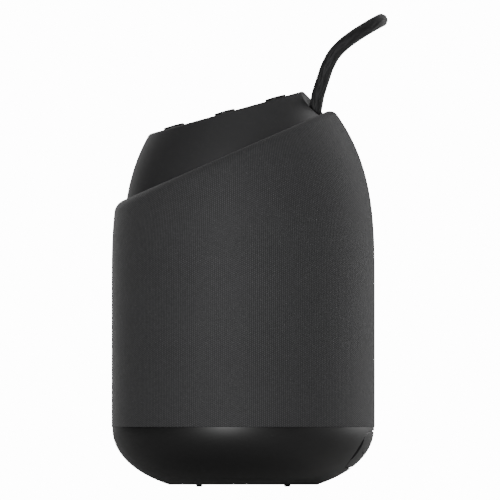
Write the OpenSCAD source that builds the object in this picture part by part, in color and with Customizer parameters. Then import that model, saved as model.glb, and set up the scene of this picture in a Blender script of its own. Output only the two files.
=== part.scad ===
// Shower speaker: a bullet-shaped fabric-covered body on a bowl-shaped base, with a sloping
// key deck on top and a hanging cord at the back. Millimetres, +Z up. The origin is on the
// surface it stands on, under the body's axis; -Y is the front and +Y is the back.

/* [Body] */
// Radius of the body's straight part
body_r = 44; // [43:0.5:54]
// Height at which the deck's plane crosses the body's axis
deck_z = 126.7; // [122:0.1:155]
// Height over which the shoulder curves in, measured down from deck_z
shoulder_h = 62.7; // [50:0.1:64]
// How far the shoulder has come in at deck_z
shoulder_drop = 14.35; // [8:0.05:18]
// How late the shoulder's curve gathers pace
shoulder_power = 3.4; // [2:0.1:5]
// Slope of the fabric's top edge, in degrees
rim_tilt = 23.55; // [10:0.05:28]
// How far below deck_z the fabric's top edge crosses the axis
rim_drop = 13.45; // [10:0.05:18]

/* [Base cup] */
// Height of the seam between the cup and the fabric
seam_z = 20; // [19.5:0.5:25]
// How far the cup's edge lies inside the fabric
seam_step = 0.2; // [0:0.05:0.6]
// Height of the cup's underside above the surface
underside_z = 0.65; // [0.3:0.05:1.5]
// How far below the seam the cup's curve would reach its lowest point
bowl_depth = 22.7; // [21:0.1:28]
// Roundness of the bowl: 2 is an ellipse, more is squarer
bowl_power = 2.15; // [2:0.05:3]
// Wall of the cup
cup_wall = 2.4; // [1.6:0.1:3]
// Distance from the axis to each foot, along X and along Y
foot_xy = 14.7; // [13.5:0.1:16]
// Radius of the nub that each foot stands on
nub_r = 1; // [0.8:0.1:1.6]

/* [Port cover] */
// Width of the cover across the back
cover_w = 34; // [28:0.5:38]
// Height of the cover
cover_h = 12; // [11:0.5:13]
// Height of the cover's middle
cover_z = 12.5; // [12:0.1:13]
// Thickness of the cover
cover_t = 1.8; // [1.2:0.1:2]
// Gap round the cover
cover_gap = 0.25; // [0.15:0.05:0.4]
// Gap behind the cover
cover_back_gap = 0.4; // [0.3:0.05:0.6]
// Width of the crescent cut out of the cover's edge for a fingernail
notch_w = 1.6; // [1:0.1:2.5]
// Height of that crescent
notch_h = 6.4; // [4:0.1:8]
// Radius of the bead that the cover turns on
bead_r = 0.8; // [0.6:0.05:1]
// Length of that bead
bead_l = 5; // [3:0.5:6]

/* [Skin] */
// Thickness of the fabric with its foam backing
fabric_t = 0.9; // [0.6:0.1:1.2]
// Wall of the grille cage
cage_t = 1.7; // [1.2:0.1:2.5]
// How far the fabric is tucked down inside the cage's rim
tuck_h = 6; // [3:0.5:10]
// Width of one window in the cage
window_w = 9; // [5:0.5:11]
// Height of one window in the cage
window_h = 11; // [6:0.5:13]
// Width of the bars between windows
window_bar = 3; // [2:0.5:5]

/* [Chassis] */
// Gap between the chassis and the cage
chassis_gap = 0.5; // [0.3:0.1:1.5]
// Wall of the chassis
chassis_wall = 2; // [1.6:0.1:3]
// How far each flat lies inside the chassis's round outline
flat_inset = 7.9; // [7.5:0.1:9]
// Height of the chassis's top face below deck_z
chassis_drop = 42.7; // [42:0.1:46]
// Thickness of its flange, at the top and at the bottom
flange_t = 3; // [2.5:0.1:4]
// Thickness of the lid that closes it below
lid_t = 2.5; // [2:0.1:3]
// Thickness of the flat gaskets
gasket_t = 0.8; // [0.5:0.1:1.2]

/* [Speaker drivers] */
// Side of the square frame of a driver or a radiator
frame_w = 41.6; // [40.6:0.1:41.8]
// Thickness of that frame
frame_t = 1.6; // [1.2:0.1:2]
// Radius of the basket behind the frame
basket_r = 19; // [18.5:0.1:19.5]
// Depth of the basket
basket_h = 9; // [8:0.1:10]
// Radius of the cone at its edge
cone_r = 15.6; // [15:0.1:16]
// Radius of the magnet's steel pot
pot_r = 13; // [12:0.1:14]
// Depth of that pot
pot_h = 8; // [7:0.1:9]
// Radius of the pole in the middle of the pot
pole_r = 8; // [6:0.1:8.4]
// Gap on each side of the voice coil
coil_gap = 0.5; // [0.35:0.05:0.7]
// Wall of the voice coil
coil_t = 0.7; // [0.4:0.05:0.9]
// Radius of a radiator's weight
weight_r = 9; // [5:0.5:12]

/* [Keys] */
// Slope of the deck, in degrees
deck_tilt = 15.6; // [8:0.1:20]
// Distance of the middle key in front of the axis
deck_forward = 6.15; // [4:0.05:8]
// Radius of the key mat
mat_r = 22.8; // [22.5:0.1:23.5]
// Thickness of the key mat
mat_t = 1.6; // [1.2:0.1:2]
// Distance from the middle key to the others
key_pitch = 17.6; // [14:0.1:18]
// Radius of a key
key_r = 3.5; // [3:0.1:4.2]
// How far a key stands up from the mat
key_rise = 0.55; // [0.3:0.05:1]
// Gap round a key
key_gap = 0.2; // [0.1:0.05:0.3]
// How far a key can be pressed
key_travel = 0.35; // [0.2:0.05:0.4]

/* [Top cap] */
// Wall of the cap
cap_wall = 2.2; // [1.8:0.1:2.6]
// Thickness of the cap's deck below the key mat
deck_t = 2.2; // [1.8:0.1:3]

/* [Strap] */
// Diameter of the hanging cord
strap_d = 4.5; // [4:0.1:5.4]
// Gap between the cord and its hole
strap_gap = 0.35; // [0.2:0.05:0.5]

/* [Electronics] */
// Gap between the main board and the cup's inside
board_gap = 0.45; // [0.3:0.05:2]
// Thickness of the main board
board_t = 1.6; // [1:0.1:1.6]
// Height of the main board's underside
board_z = 9.4; // [9:0.1:9.6]
// Place of the charging socket across the back
usb_x = -4.5; // [-6:0.1:-3]
// Place of the audio jack across the back
jack_x = 8; // [7:0.1:9]
// Radius of the audio jack's bore
jack_bore_r = 1.8; // [1.75:0.05:1.85]
// Radius of the battery cell
cell_r = 9.2; // [8:0.1:9.5]
// Length of the battery cell
cell_l = 50; // [40:0.5:52]

/* [Hidden] */
$fn = 96;
eps = 0.01;

// --- The body's outline -------------------------------------------------------------------
shoulder_z = deck_z - shoulder_h;
rim_t = 2 * fabric_t + cage_t;
rim_z = deck_z - rim_drop;
body_bands = 14;
body_top = 1.16; // height of the outline above shoulder_z, in shoulder heights
sleeve_z = seam_z + seam_step;

// How far up the shoulder a height lies: 0 where it starts, 1 at deck_z.
function shoulder_part(z) = max(0, (z - shoulder_z) / shoulder_h);
// Radius of the fabric's outside at a height.
function body_radius(z) = body_r - shoulder_drop * pow(shoulder_part(z), shoulder_power);
// Angle by which the outline leans in at a height.
function body_lean(z) =
    atan(shoulder_drop * shoulder_power / shoulder_h * pow(shoulder_part(z), shoulder_power - 1));
// Point of the outline moved inwards at right angles to it.
function body_point(z, inset) =
    [body_radius(z) - inset * cos(body_lean(z)), z - inset * sin(body_lean(z))];
// Heights of the outline's bands, closer together where it curves more.
function band_z(k) = shoulder_z + shoulder_h * body_top * sqrt(k / body_bands);

// The body's outline, moved inwards by inset and turned round the axis, from z_low up,
// which lies below the shoulder.
module body_solid(inset, z_low) {
    top = body_point(band_z(body_bands), inset);
    rotate_extrude() polygon(concat(
        [[0, z_low], [body_r - inset, z_low], [body_r - inset, shoulder_z]],
        [for (k = [1:body_bands]) body_point(band_z(k), inset)],
        [[0, top[1]]]
    ));
}

big = 4 * body_r;

// Everything below a plane that crosses the axis at height z and rises to the back by tilt.
module below(z, tilt) {
    translate([0, 0, z]) rotate([tilt, 0, 0])
        translate([-big, -big, -2 * deck_z]) cube([2 * big, 2 * big, 2 * deck_z]);
}
// Everything below the fabric's top edge, lowered by drop at right angles to it.
module below_rim(drop = 0) { below(rim_z - drop / cos(rim_tilt), rim_tilt); }
// Everything below the deck, lowered by drop at right angles to it.
module below_deck(drop = 0) { below(deck_z - drop / cos(deck_tilt), deck_tilt); }

// --- Screws -------------------------------------------------------------------------------
thread_gap = 0.05;  // between a screw's plain shank and its hole
hole_gap = 0.2;     // between a shank and the hole that it passes through
head_r = 1.9;
head_h = 1.2;
shank_r = 1;
chassis_shank = 6.4;
board_shank = 5;
long_head_r = 2.3;
long_head_h = 1.6;
long_shank_r = 1.25;

// A pan-head screw with its head's underside at the origin, pointing down.
module screw(head, height, shank, length) {
    cylinder(r = head, h = height);
    translate([0, 0, -length]) cylinder(r = shank, h = length + eps);
}
module small_screw(length) { screw(head_r, head_h, shank_r, length); }
// Four places at the corners of a square, distance along each side from its middle.
module corners(distance) {
    for (sx = [-1, 1], sy = [-1, 1]) translate([sx * distance, sy * distance, 0]) children();
}

// --- Base cup and port cover --------------------------------------------------------------
cup_r = body_r - seam_step;
bowl_bands = 14;
well_gap = 0.5;      // round the cover's plugs
pocket_d = cover_t + cover_back_gap;
land_wall = 1.4;     // between the cover's pocket and the inside of the cup
land_w = cover_w + 6;
foot_r = 2.45;
foot_t = 1.2;
foot_bore_r = 2.5;
foot_bore_z = 3.6;   // where the long screws' heads seat
pillar_r = 3.6;
standoff_r = 2.6;
board_hole_xy = 26;
standoff_places = [[1, 0], [-1, 0], [0, -1]];
lid_z = seam_z - 1;
seal_gap = 0.15;     // between the seal and the cup's wall
seal_lift = 0.1;     // between the seal and the chassis lid's plane

// Radius of the cup at a height, on a surface inset from its outside.
function bowl_radius(z, inset = 0) =
    (cup_r - inset)
    * pow(max(0, 1 - pow((seam_z - z) / (bowl_depth - inset), bowl_power)), 1 / bowl_power);

// The bowl's outline, inset from its outside and turned round the axis, from z_low up.
module bowl_solid(inset, z_low, z_top = seam_z) {
    rotate_extrude() polygon(concat(
        [[0, z_low]],
        [for (k = [0:bowl_bands - 1])
            let (z = z_low + (seam_z - z_low) * pow(k / bowl_bands, 1.5)) [bowl_radius(z, inset), z]],
        [[cup_r - inset, seam_z], [cup_r - inset, z_top], [0, z_top]]
    ));
}

// A bar with round ends, width by height in X and Z, along Y from the axis outwards.
module stadium(width, height) {
    side = (width - height) / 2;
    for (s = [-1, 1]) translate([s * side, 0, 0]) rotate([-90, 0, 0])
        cylinder(d = height, h = body_r + 1);
    translate([-side, 0, -height / 2]) cube([2 * side, body_r + 1, height]);
}

// The cover's bead lies along the cup's wall at the cover's left end.
hinge_x = -cover_w / 2;
hinge_surface_r = bowl_radius(cover_z);
hinge_turn = asin(-hinge_x / hinge_surface_r);
hinge_lean = atan((bowl_radius(cover_z + 0.5) - bowl_radius(cover_z - 0.5)));
module at_hinge() {
    rotate([0, 0, 90 + hinge_turn]) translate([hinge_surface_r, 0, cover_z])
        rotate([0, hinge_lean, 0]) translate([-bead_r, 0, 0]) children();
}

// What the cover's lower edge loses, so that it clears the wall as it turns on the leaning
// hinge: outwards it runs down by the hinge's lean. The middle follows a cone round the
// cup's axis, and the round ends follow a bar with round ends.
bevel_more = 1.05;    // how much steeper the bevel is than the hinge's lean
bevel_edge = 0.15;    // how far inside the cover's outer edge the bevel starts
bevel_reach = 5;
bevel_x = 0.45 * cover_w;  // where on the round ends the bevel starts just inside the surface
bevel_z = cover_z - 0.35 * cover_h;
bevel_low = cover_z - cover_h / 2;
bevel_slope = tan(hinge_lean) * bevel_more;
bevel_r = bowl_radius(bevel_low) - bevel_edge;
bevel_end_y = sqrt(pow(bowl_radius(bevel_z), 2) - pow(bevel_x, 2)) - bevel_edge;
module lower_bevel() {
    rotate_extrude() polygon([
        [bevel_r - bevel_reach, bevel_low - 1], [bevel_r - bevel_reach, bevel_low + bevel_slope * bevel_reach],
        [bevel_r, bevel_low], [bevel_r, bevel_low - 1]
    ]);
    difference() {
        translate([-cover_w, 0, 0]) cube([2 * cover_w, body_r, cover_z]);
        translate([0, bevel_end_y, cover_z]) rotate([-atan(bevel_slope), 0, 0])
            translate([0, -body_r / 2, 0]) stadium(cover_w, cover_h);
    }
}

usb_w = 8.94;
usb_h = 3.26;
usb_depth = 9;
usb_shell_t = 0.35;
usb_gap = 0.25;
jack_w = 6.4;
jack_h = 5.8;
jack_depth = 13;
jack_nose_r = 2.9;
jack_bore_l = 14;
jack_shoulder = 4.6;  // length of the jack's round nose
plug_t = 1.4;         // rim left round each plug's own socket
board_r = bowl_radius(board_z, pocket_d + land_wall) - board_gap;
board_back = 1;       // depth of the flat at the board's rear
board_top = board_z + board_t;
usb_z = board_top + usb_h / 2;
jack_z = board_top + jack_h / 2;
port_face_y = bowl_radius(board_top, pocket_d) - 0.3;
plug_gap = 0.15;      // between the plugs and the sockets' faces
bead_web = 1.2;       // web between the cover and its bead
hinge_thin_w = 2.4;   // width of the cover's thin strip beside its bead
hinge_thin_x = 0.1;   // how far that strip reaches below the bead's axis

// The room in which each plug of the cover lies, grown by gap and starting at y.
module usb_well(gap, y) {
    translate([usb_x, y, usb_z]) stadium(usb_w + 2 * plug_t + 2 * gap, usb_h + 2 * plug_t + 2 * gap);
}
module jack_well(gap, y) {
    translate([jack_x, y, jack_z]) rotate([-90, 0, 0]) cylinder(r = jack_nose_r + plug_t / 2 + gap, h = body_r);
}

module base_cup() {
    color("#17181a") difference() {
        intersection() {
            bowl_solid(0, underside_z);
            union() {
                difference() {
                    bowl_solid(0, underside_z);
                    // the inside, with a thicker wall behind the port cover
                    difference() {
                        bowl_solid(cup_wall, underside_z + cup_wall, seam_z + 1);
                        translate([-land_w / 2, cup_r / 2, 0]) cube([land_w, cup_r, lid_z - 1]);
                    }
                    bowl_solid(pocket_d + land_wall, underside_z + cup_wall, seam_z + 1);
                }
                corners(foot_xy) translate([0, 0, underside_z])
                    cylinder(r = pillar_r, h = lid_z - underside_z);
                for (p = standoff_places) translate([p[0] * board_hole_xy, p[1] * board_hole_xy, underside_z])
                    cylinder(r = standoff_r, h = board_z - underside_z);
            }
        }
        // the pocket for the cover and its bead
        difference() {
            translate([0, 0, cover_z]) stadium(cover_w + 2 * cover_gap, cover_h + 2 * cover_gap);
            bowl_solid(pocket_d, 0);
        }
        at_hinge() translate([0, 0, -bead_l / 2 - cover_gap])
            cylinder(r = bead_r + cover_gap, h = bead_l + 2 * cover_gap);
        at_hinge() translate([0, -bead_r - cover_gap, -bead_l / 2 - cover_gap])
            cube([2 * bead_r, 2 * (bead_r + cover_gap), bead_l + 2 * cover_gap]);
        // the two ports
        usb_well(0, port_face_y);
        jack_well(0, port_face_y);
        translate([usb_x, 0, usb_z]) stadium(usb_w + 2 * usb_gap, usb_h + 2 * usb_gap);
        translate([jack_x, 0, jack_z]) rotate([-90, 0, 0]) cylinder(r = jack_nose_r + usb_gap, h = body_r);
        // screws from below, each under a foot
        corners(foot_xy) {
            cylinder(r = foot_bore_r, h = foot_bore_z);
            cylinder(r = long_shank_r + hole_gap, h = seam_z);
        }
        for (p = standoff_places) translate([p[0] * board_hole_xy, p[1] * board_hole_xy, board_top - board_shank])
            cylinder(r = shank_r + thread_gap, h = seam_z);
    }
}

module feet() {
    color("#0f0f10") corners(foot_xy) {
        cylinder(r = nub_r, h = underside_z + eps);
        translate([0, 0, underside_z]) cylinder(r = foot_r, h = foot_t);
    }
}

module port_cover() {
    color("#131315") union() {
        difference() {
            intersection() {
                translate([0, 0, cover_z]) stadium(cover_w, cover_h);
                difference() {
                    bowl_solid(0, 0);
                    bowl_solid(cover_t, 0);
                }
            }
            // the fingernail crescent at the right end
            intersection() {
                difference() {
                    translate([0, 0, cover_z]) stadium(cover_w + 1, cover_h + 1);
                    translate([-notch_w, 0, cover_z]) stadium(cover_w, cover_h);
                }
                translate([0, 0, cover_z - notch_h / 2]) cube([cover_w, body_r, notch_h]);
            }
            // thinner at the bead, so that its back edge clears the pocket as it turns
            at_hinge() translate([-cover_t, -hinge_thin_w, -cover_h / 2])
                cube([cover_t - hinge_thin_x, hinge_thin_w + 3, cover_h]);
            lower_bevel();
            // room for the jack's nose
            translate([jack_x, 0, jack_z]) rotate([-90, 0, 0])
                cylinder(r = jack_nose_r + usb_gap, h = port_face_y + plug_gap);
        }
        // plugs that close the two ports
        intersection() {
            union() {
                usb_well(-well_gap, port_face_y + plug_gap);
                jack_well(-well_gap, port_face_y + plug_gap);
            }
            bowl_solid(cover_t - 0.1, 0);
        }
        at_hinge() translate([0, 0, -bead_l / 2]) {
            cylinder(r = bead_r, h = bead_l);
            translate([-bead_r, -bead_web, 0]) cube([2 * bead_r, bead_web, bead_l]);
        }
    }
}

module base_seal() {
    color("#2b2b2e") translate([0, 0, lid_z + seal_lift]) difference() {
        cylinder(r = bowl_radius(lid_z, cup_wall) - seal_gap, h = seam_z - lid_z - seal_lift);
        translate([0, 0, -1]) cylinder(r = chassis_r + eps, h = seam_z);
    }
}

module housing_screws() {
    color("#9a9da0") corners(foot_xy) translate([0, 0, foot_bore_z]) mirror([0, 0, 1])
        screw(long_head_r, long_head_h, long_shank_r, chassis_z + boss_h - 2 - foot_bore_z);
}

// --- Fabric sleeve and grille cage --------------------------------------------------------
module fabric_sleeve() {
    color("#3f4042") difference() {
        intersection() {
            body_solid(0, sleeve_z);
            below_rim();
        }
        // the cage's room inside the folded edge
        intersection() {
            difference() {
                body_solid(fabric_t, 0);
                body_solid(fabric_t + cage_t, 0);
            }
            below_rim(fabric_t);
        }
        body_solid(rim_t, 0);
        intersection() {
            body_solid(fabric_t, 0);
            below_rim(fabric_t + tuck_h);
        }
    }
}

module grille_cage() {
    step_w = window_w + window_bar;
    step_h = window_h + window_bar;
    color("#222325") difference() {
        intersection() {
            difference() {
                body_solid(fabric_t, sleeve_z);
                body_solid(fabric_t + cage_t, 0);
            }
            below_rim(fabric_t);
        }
        for (turn = [0:90:270], i = [-1:1], j = [-1:1]) rotate([0, 0, turn])
            translate([flat_d, i * step_w - window_w / 2, driver_z + j * step_h - window_h / 2])
                cube([body_r, window_w, window_h]);
    }
}

// --- Chassis: the sealed box that holds the drivers ---------------------------------------
chassis_r = body_r - fabric_t - cage_t - chassis_gap;
flat_d = chassis_r - flat_inset;
chassis_z = lid_z + lid_t + gasket_t;
chassis_top = deck_z - chassis_drop;
driver_z = (chassis_z + chassis_top) / 2;
web_t = 1.6;          // webs between the bosses and the wall
boss_h = 9;
boss_r = 3.2;
driver_hole_r = basket_r + 0.4;
screw_edge = 4.2;     // from the edge of a driver's frame to its screws
driver_screw_xy = frame_w / 2 - screw_edge;
cap_screw_xy = (body_r - rim_t - cap_wall - 3.8) / sqrt(2);
cable_r = 1.1;
cable_place = [22, 17];
lead_r = 0.45;
lead_x = 16;
lead_y = 2.5;
lead_gap = 0.15;
grommet_gap = 0.3;
gasket_in = body_r - rim_t - cap_wall - 0.1;
gasket_out = gasket_in + 1.8;

// A round bar with four flats.
module flatted(r, flat, h) {
    intersection() {
        cylinder(r = r, h = h);
        translate([-flat, -flat, 0]) cube([2 * flat, 2 * flat, h]);
    }
}
// Each child once for every face of the chassis, in that face's own frame: local Z points
// outwards from the face and the origin is in the driver's middle.
module on_face(turn) {
    rotate([0, 0, turn]) translate([flat_d, 0, driver_z]) rotate([0, 90, 0]) children();
}

module chassis() {
    h = chassis_top - chassis_z;
    color("#2a2b2e") difference() {
        union() {
            difference() {
                translate([0, 0, chassis_z]) union() {
                    flatted(chassis_r, flat_d, h);
                    cylinder(r = chassis_r, h = flange_t);
                    translate([0, 0, h - flange_t]) cylinder(r = chassis_r, h = flange_t);
                }
                translate([0, 0, chassis_z - eps])
                    flatted(chassis_r - chassis_wall, flat_d - chassis_wall, h - chassis_wall + eps);
            }
            translate([0, 0, chassis_z]) corners(foot_xy) cylinder(r = boss_r, h = boss_h);
            // a web from each boss to the wall
            for (turn = [45:90:315]) rotate([0, 0, turn])
                translate([foot_xy * sqrt(2), -web_t / 2, chassis_z])
                    cube([chassis_r - foot_xy * sqrt(2) - 1, web_t, boss_h - 1]);
        }
        for (turn = [0:90:270]) on_face(turn) {
            translate([0, 0, -chassis_wall - 1]) cylinder(r = driver_hole_r, h = chassis_wall + 2);
            corners(driver_screw_xy) translate([0, 0, -chassis_wall - 1])
                cylinder(r = shank_r + thread_gap, h = chassis_wall + 2);
        }
        corners(foot_xy) translate([0, 0, chassis_z - 1])
            cylinder(r = long_shank_r + thread_gap, h = boss_h);
        corners(cap_screw_xy) translate([0, 0, chassis_top - 2 * flange_t])
            cylinder(r = shank_r + hole_gap, h = 3 * flange_t);
        translate([cable_place[0], cable_place[1], chassis_z + boss_h]) cylinder(r = cable_r + grommet_gap, h = h);
    }
}

module chassis_lid() {
    color("#2a2b2e") translate([0, 0, lid_z]) difference() {
        cylinder(r = chassis_r, h = lid_t);
        corners(foot_xy) translate([0, 0, -1]) cylinder(r = long_shank_r + hole_gap, h = lid_t + 2);
        translate([cable_place[0], cable_place[1], -1]) cylinder(r = cable_r + grommet_gap, h = lid_t + 2);
        for (sx = [-1, 1], sy = [-1, 1]) translate([sx * lead_x, sy * lead_y, -1])
            cylinder(r = lead_r + lead_gap, h = lid_t + 2);
        for (sx = [-1, 1]) translate([sx * lead_y, -cradle_r - 2, -1])
            cylinder(r = lead_r + lead_gap, h = lid_t + 2);
    }
}

module chassis_gaskets() {
    color("#161617") for (z = [lid_z + lid_t, chassis_top]) translate([0, 0, z]) difference() {
        cylinder(r = gasket_out, h = gasket_t);
        translate([0, 0, -1]) cylinder(r = gasket_in, h = gasket_t + 2);
    }
}

module chassis_screws() {
    color("#8f9295") {
        for (turn = [0:90:270]) on_face(turn) corners(driver_screw_xy)
            translate([0, 0, gasket_t + frame_t]) small_screw(chassis_shank);
        corners(cap_screw_xy) translate([0, 0, chassis_top - chassis_wall]) mirror([0, 0, 1])
            small_screw(chassis_shank);
    }
}

// --- Speaker drivers and passive radiators ------------------------------------------------
frame_hole_r = basket_r - 0.8;
face_z = gasket_t + frame_t;
coil_r = pole_r + coil_gap;
pot_floor = 2;
neck_z = -3.4;
coil_l = 10.1;
spider_z = -6;
spider_t = 0.4;
surround_t = 0.4;
roll_r = (frame_hole_r + 0.3 - cone_r) / 2;
roll_c = cone_r + roll_r + 0.15;
glue_gap = 0.05;
dome_h = 3;

// The square frame plate with its round opening and four screw holes.
module frame_plate(t, hole_r) {
    difference() {
        translate([-frame_w / 2, -frame_w / 2, 0]) cube([frame_w, frame_w, t]);
        translate([0, 0, -1]) cylinder(r = hole_r, h = t + 2);
        corners(driver_screw_xy) translate([0, 0, -1]) cylinder(r = shank_r + hole_gap, h = t + 2);
    }
}

module basket(turn) {
    color("#3a3c40") on_face(turn) difference() {
        union() {
            translate([0, 0, gasket_t]) frame_plate(frame_t, frame_hole_r);
            translate([0, 0, -basket_h]) difference() {
                cylinder(r = basket_r, h = basket_h + gasket_t + eps);
                translate([0, 0, 1.2]) cylinder(r = frame_hole_r, h = basket_h + 2);
                translate([0, 0, -1]) cylinder(r = coil_r + coil_t + coil_gap, h = 4);
            }
        }
        // windows for the air behind the cone
        for (a = [0:90:270]) rotate([0, 0, a + 45])
            translate([basket_r - 5, -5, -basket_h + 1.2 + 0.4]) cube([8, 10, 2.4]);
    }
}

module magnet(turn) {
    color("#85888c") on_face(turn) translate([0, 0, -basket_h - pot_h]) rotate_extrude() polygon([
        [0, 0], [pot_r, 0], [pot_r, pot_h], [coil_r + coil_t + coil_gap, pot_h],
        [coil_r + coil_t + coil_gap, pot_floor], [pole_r, pot_floor], [pole_r, pot_h], [0, pot_h]
    ]);
}

module voice_coil(turn) {
    color("#b4713a") on_face(turn) translate([0, 0, neck_z - coil_l]) difference() {
        cylinder(r = coil_r + coil_t, h = coil_l);
        translate([0, 0, -1]) cylinder(r = coil_r, h = coil_l + 2);
    }
}

module cone(turn) {
    rim_top = face_z - glue_gap;
    dome_r = coil_r + coil_t;
    paper_t = 0.5;
    function dome_z(r) = neck_z + 0.9 + dome_h * cos(90 * r / dome_r);
    color("#202022") on_face(turn) rotate_extrude() polygon(concat(
        [for (k = [0:8]) let (r = dome_r * k / 8) [r, dome_z(r)]],
        [[cone_r, rim_top], [cone_r, rim_top - 0.6], [dome_r, neck_z], [coil_r, neck_z]],
        [for (k = [8:-1:0]) let (r = coil_r * k / 8) [r, dome_z(r) - paper_t]]
    ));
}

// A rolled rubber edge between the cone and the frame.
module surround(turn) {
    lip = asin(surround_t / (roll_r + surround_t / 2));
    function roll(r, a) = [roll_c + r * cos(a), face_z + r * sin(a)];
    color("#1b1b1d") on_face(turn) rotate_extrude() polygon(concat(
        [[cone_r - 0.7, face_z]],
        [for (a = [180:-20:0]) roll(roll_r - surround_t / 2, a)],
        [[frame_hole_r + 1.8, face_z], [frame_hole_r + 1.8, face_z + surround_t]],
        [for (k = [0:8]) roll(roll_r + surround_t / 2, lip + (180 - 2 * lip) * k / 8)],
        [[cone_r - 0.7, face_z + surround_t]]
    ));
}

// A corrugated ring that keeps the voice coil in the middle.
module spider(turn) {
    r_in = coil_r + coil_t + glue_gap;
    r_out = frame_hole_r - glue_gap;
    waves = 6;
    steps = 4 * waves;
    function wave(k) = [r_in + (r_out - r_in) * k / steps, spider_z + 0.5 * sin(360 * waves * k / steps)];
    color("#c9a24c") on_face(turn) rotate_extrude() polygon(concat(
        [for (k = [0:steps]) wave(k)],
        [for (k = [steps:-1:0]) wave(k) + [0, spider_t]]
    ));
}

module radiator_frame(turn) {
    color("#3a3c40") on_face(turn) translate([0, 0, gasket_t]) frame_plate(frame_t, frame_hole_r);
}
module radiator_plate(turn) {
    color("#77797c") on_face(turn) {
        translate([0, 0, face_z - glue_gap - 1.2]) cylinder(r = cone_r, h = 1.2);
        translate([0, 0, face_z - glue_gap - 5]) cylinder(r = weight_r, h = 4);
    }
}

module driver_gaskets() {
    color("#161617") for (turn = [0:90:270]) on_face(turn) frame_plate(gasket_t, driver_hole_r);
}

right = 0;
rear = 90;
left = 180;
front = 270;

module right_basket() { basket(right); }
module right_magnet() { magnet(right); }
module right_voice_coil() { voice_coil(right); }
module right_cone() { cone(right); }
module right_surround() { surround(right); }
module right_spider() { spider(right); }
module left_basket() { basket(left); }
module left_magnet() { magnet(left); }
module left_voice_coil() { voice_coil(left); }
module left_cone() { cone(left); }
module left_surround() { surround(left); }
module left_spider() { spider(left); }
module front_radiator_frame() { radiator_frame(front); }
module front_radiator_plate() { radiator_plate(front); }
module front_radiator_surround() { surround(front); }
module rear_radiator_frame() { radiator_frame(rear); }
module rear_radiator_plate() { radiator_plate(rear); }
module rear_radiator_surround() { surround(rear); }

// --- Battery and wiring -------------------------------------------------------------------
cradle_r = cell_r + 2.1;
cradle_h = 16;
cradle_floor = 2;
cell_gap = 0.2;
cradle_z = lid_z + lid_t;

module battery_cradle() {
    color("#303236") translate([0, 0, cradle_z]) difference() {
        cylinder(r = cradle_r, h = cradle_h);
        translate([0, 0, cradle_floor]) cylinder(r = cell_r + cell_gap, h = cradle_h);
        // finger cut-outs on both sides
        translate([-cradle_r - 1, -4, cradle_h / 2]) cube([2 * cradle_r + 2, 8, cradle_h]);
    }
}
module battery() {
    color("#2f6f9f") translate([0, 0, cradle_z + cradle_floor]) {
        cylinder(r = cell_r, h = cell_l);
        translate([0, 0, cell_l - eps]) cylinder(r = cell_r / 3, h = 0.8);
    }
}

bend_grow = 1.15;  // of the ball at a wire's bend
// A round wire through the listed points, with a ball at each bend.
module wire(points, r) {
    for (i = [1:len(points) - 1]) {
        d = points[i] - points[i - 1];
        translate(points[i - 1]) rotate([0, acos(d[2] / norm(d)), atan2(d[1], d[0])])
            cylinder(r = r, h = norm(d), $fn = 24);
        if (i > 1) translate(points[i - 1]) sphere(r = bend_grow * r, $fn = 24);
    }
}

module speaker_leads() {
    bend_z = driver_z - frame_hole_r - 3;
    back = flat_d - basket_h - lead_r - 0.1;
    color("#a33b32") for (sx = [-1, 1], sy = [-1, 1]) wire([
        [sx * lead_x, sy * lead_y, board_top],
        [sx * lead_x, sy * lead_y, bend_z],
        [sx * back, sy * lead_y, driver_z - frame_hole_r + 2]
    ], lead_r);
}
module battery_leads() {
    color("#b8362f") for (sx = [-1, 1]) wire([
        [sx * lead_y, -cradle_r - 2, board_top],
        [sx * lead_y, -cradle_r - 2, cradle_z + cradle_h + 3],
        [sx * lead_y, -cell_r - lead_r - 0.1, cradle_z + cradle_h + 6]
    ], lead_r);
}
module key_cable() {
    color("#26272a") wire([
        [cable_place[0], cable_place[1], board_top],
        [cable_place[0], cable_place[1], chassis_top + 16],
        deck_to_body([12, 8, key_board_z - cable_r - 0.1])
    ], cable_r);
}

// --- Electronics --------------------------------------------------------------------------
module main_board() {
    color("#1f5a36") translate([0, 0, board_z]) difference() {
        intersection() {
            cylinder(r = board_r, h = board_t);
            translate([-board_r, -board_r, 0]) cube([2 * board_r, 2 * board_r - board_back, board_t]);
        }
        corners(foot_xy) translate([0, 0, -1]) cylinder(r = pillar_r + 0.3, h = board_t + 2);
        for (p = standoff_places) translate([p[0] * board_hole_xy, p[1] * board_hole_xy, -1])
            cylinder(r = shank_r + hole_gap, h = board_t + 2);
    }
}
module board_screws() {
    color("#9a9da0") {
        for (p = standoff_places) translate([p[0] * board_hole_xy, p[1] * board_hole_xy, board_top])
            small_screw(board_shank);
        on_deck() corners(key_boss_xy) translate([0, 0, key_board_z]) mirror([0, 0, 1])
            small_screw(board_shank);
    }
}
module radio_shield() {
    can = [12, 7.6, 2.2];
    wall = 0.3;
    front_y = -board_hole_xy + head_r + 1.3;
    color("#b9bcc0") translate([-can[0] / 2, front_y, board_top]) difference() {
        cube(can);
        translate([wall, wall, -1]) cube([can[0] - 2 * wall, can[1] - 2 * wall, can[2] - wall + 1]);
    }
}
module board_chips() {
    color("#1c1c1e") for (p = [[-26, 6], [20, -8], [-4, 8]])
        translate([p[0], p[1], board_top]) cube([6, 6, 1]);
}
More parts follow.
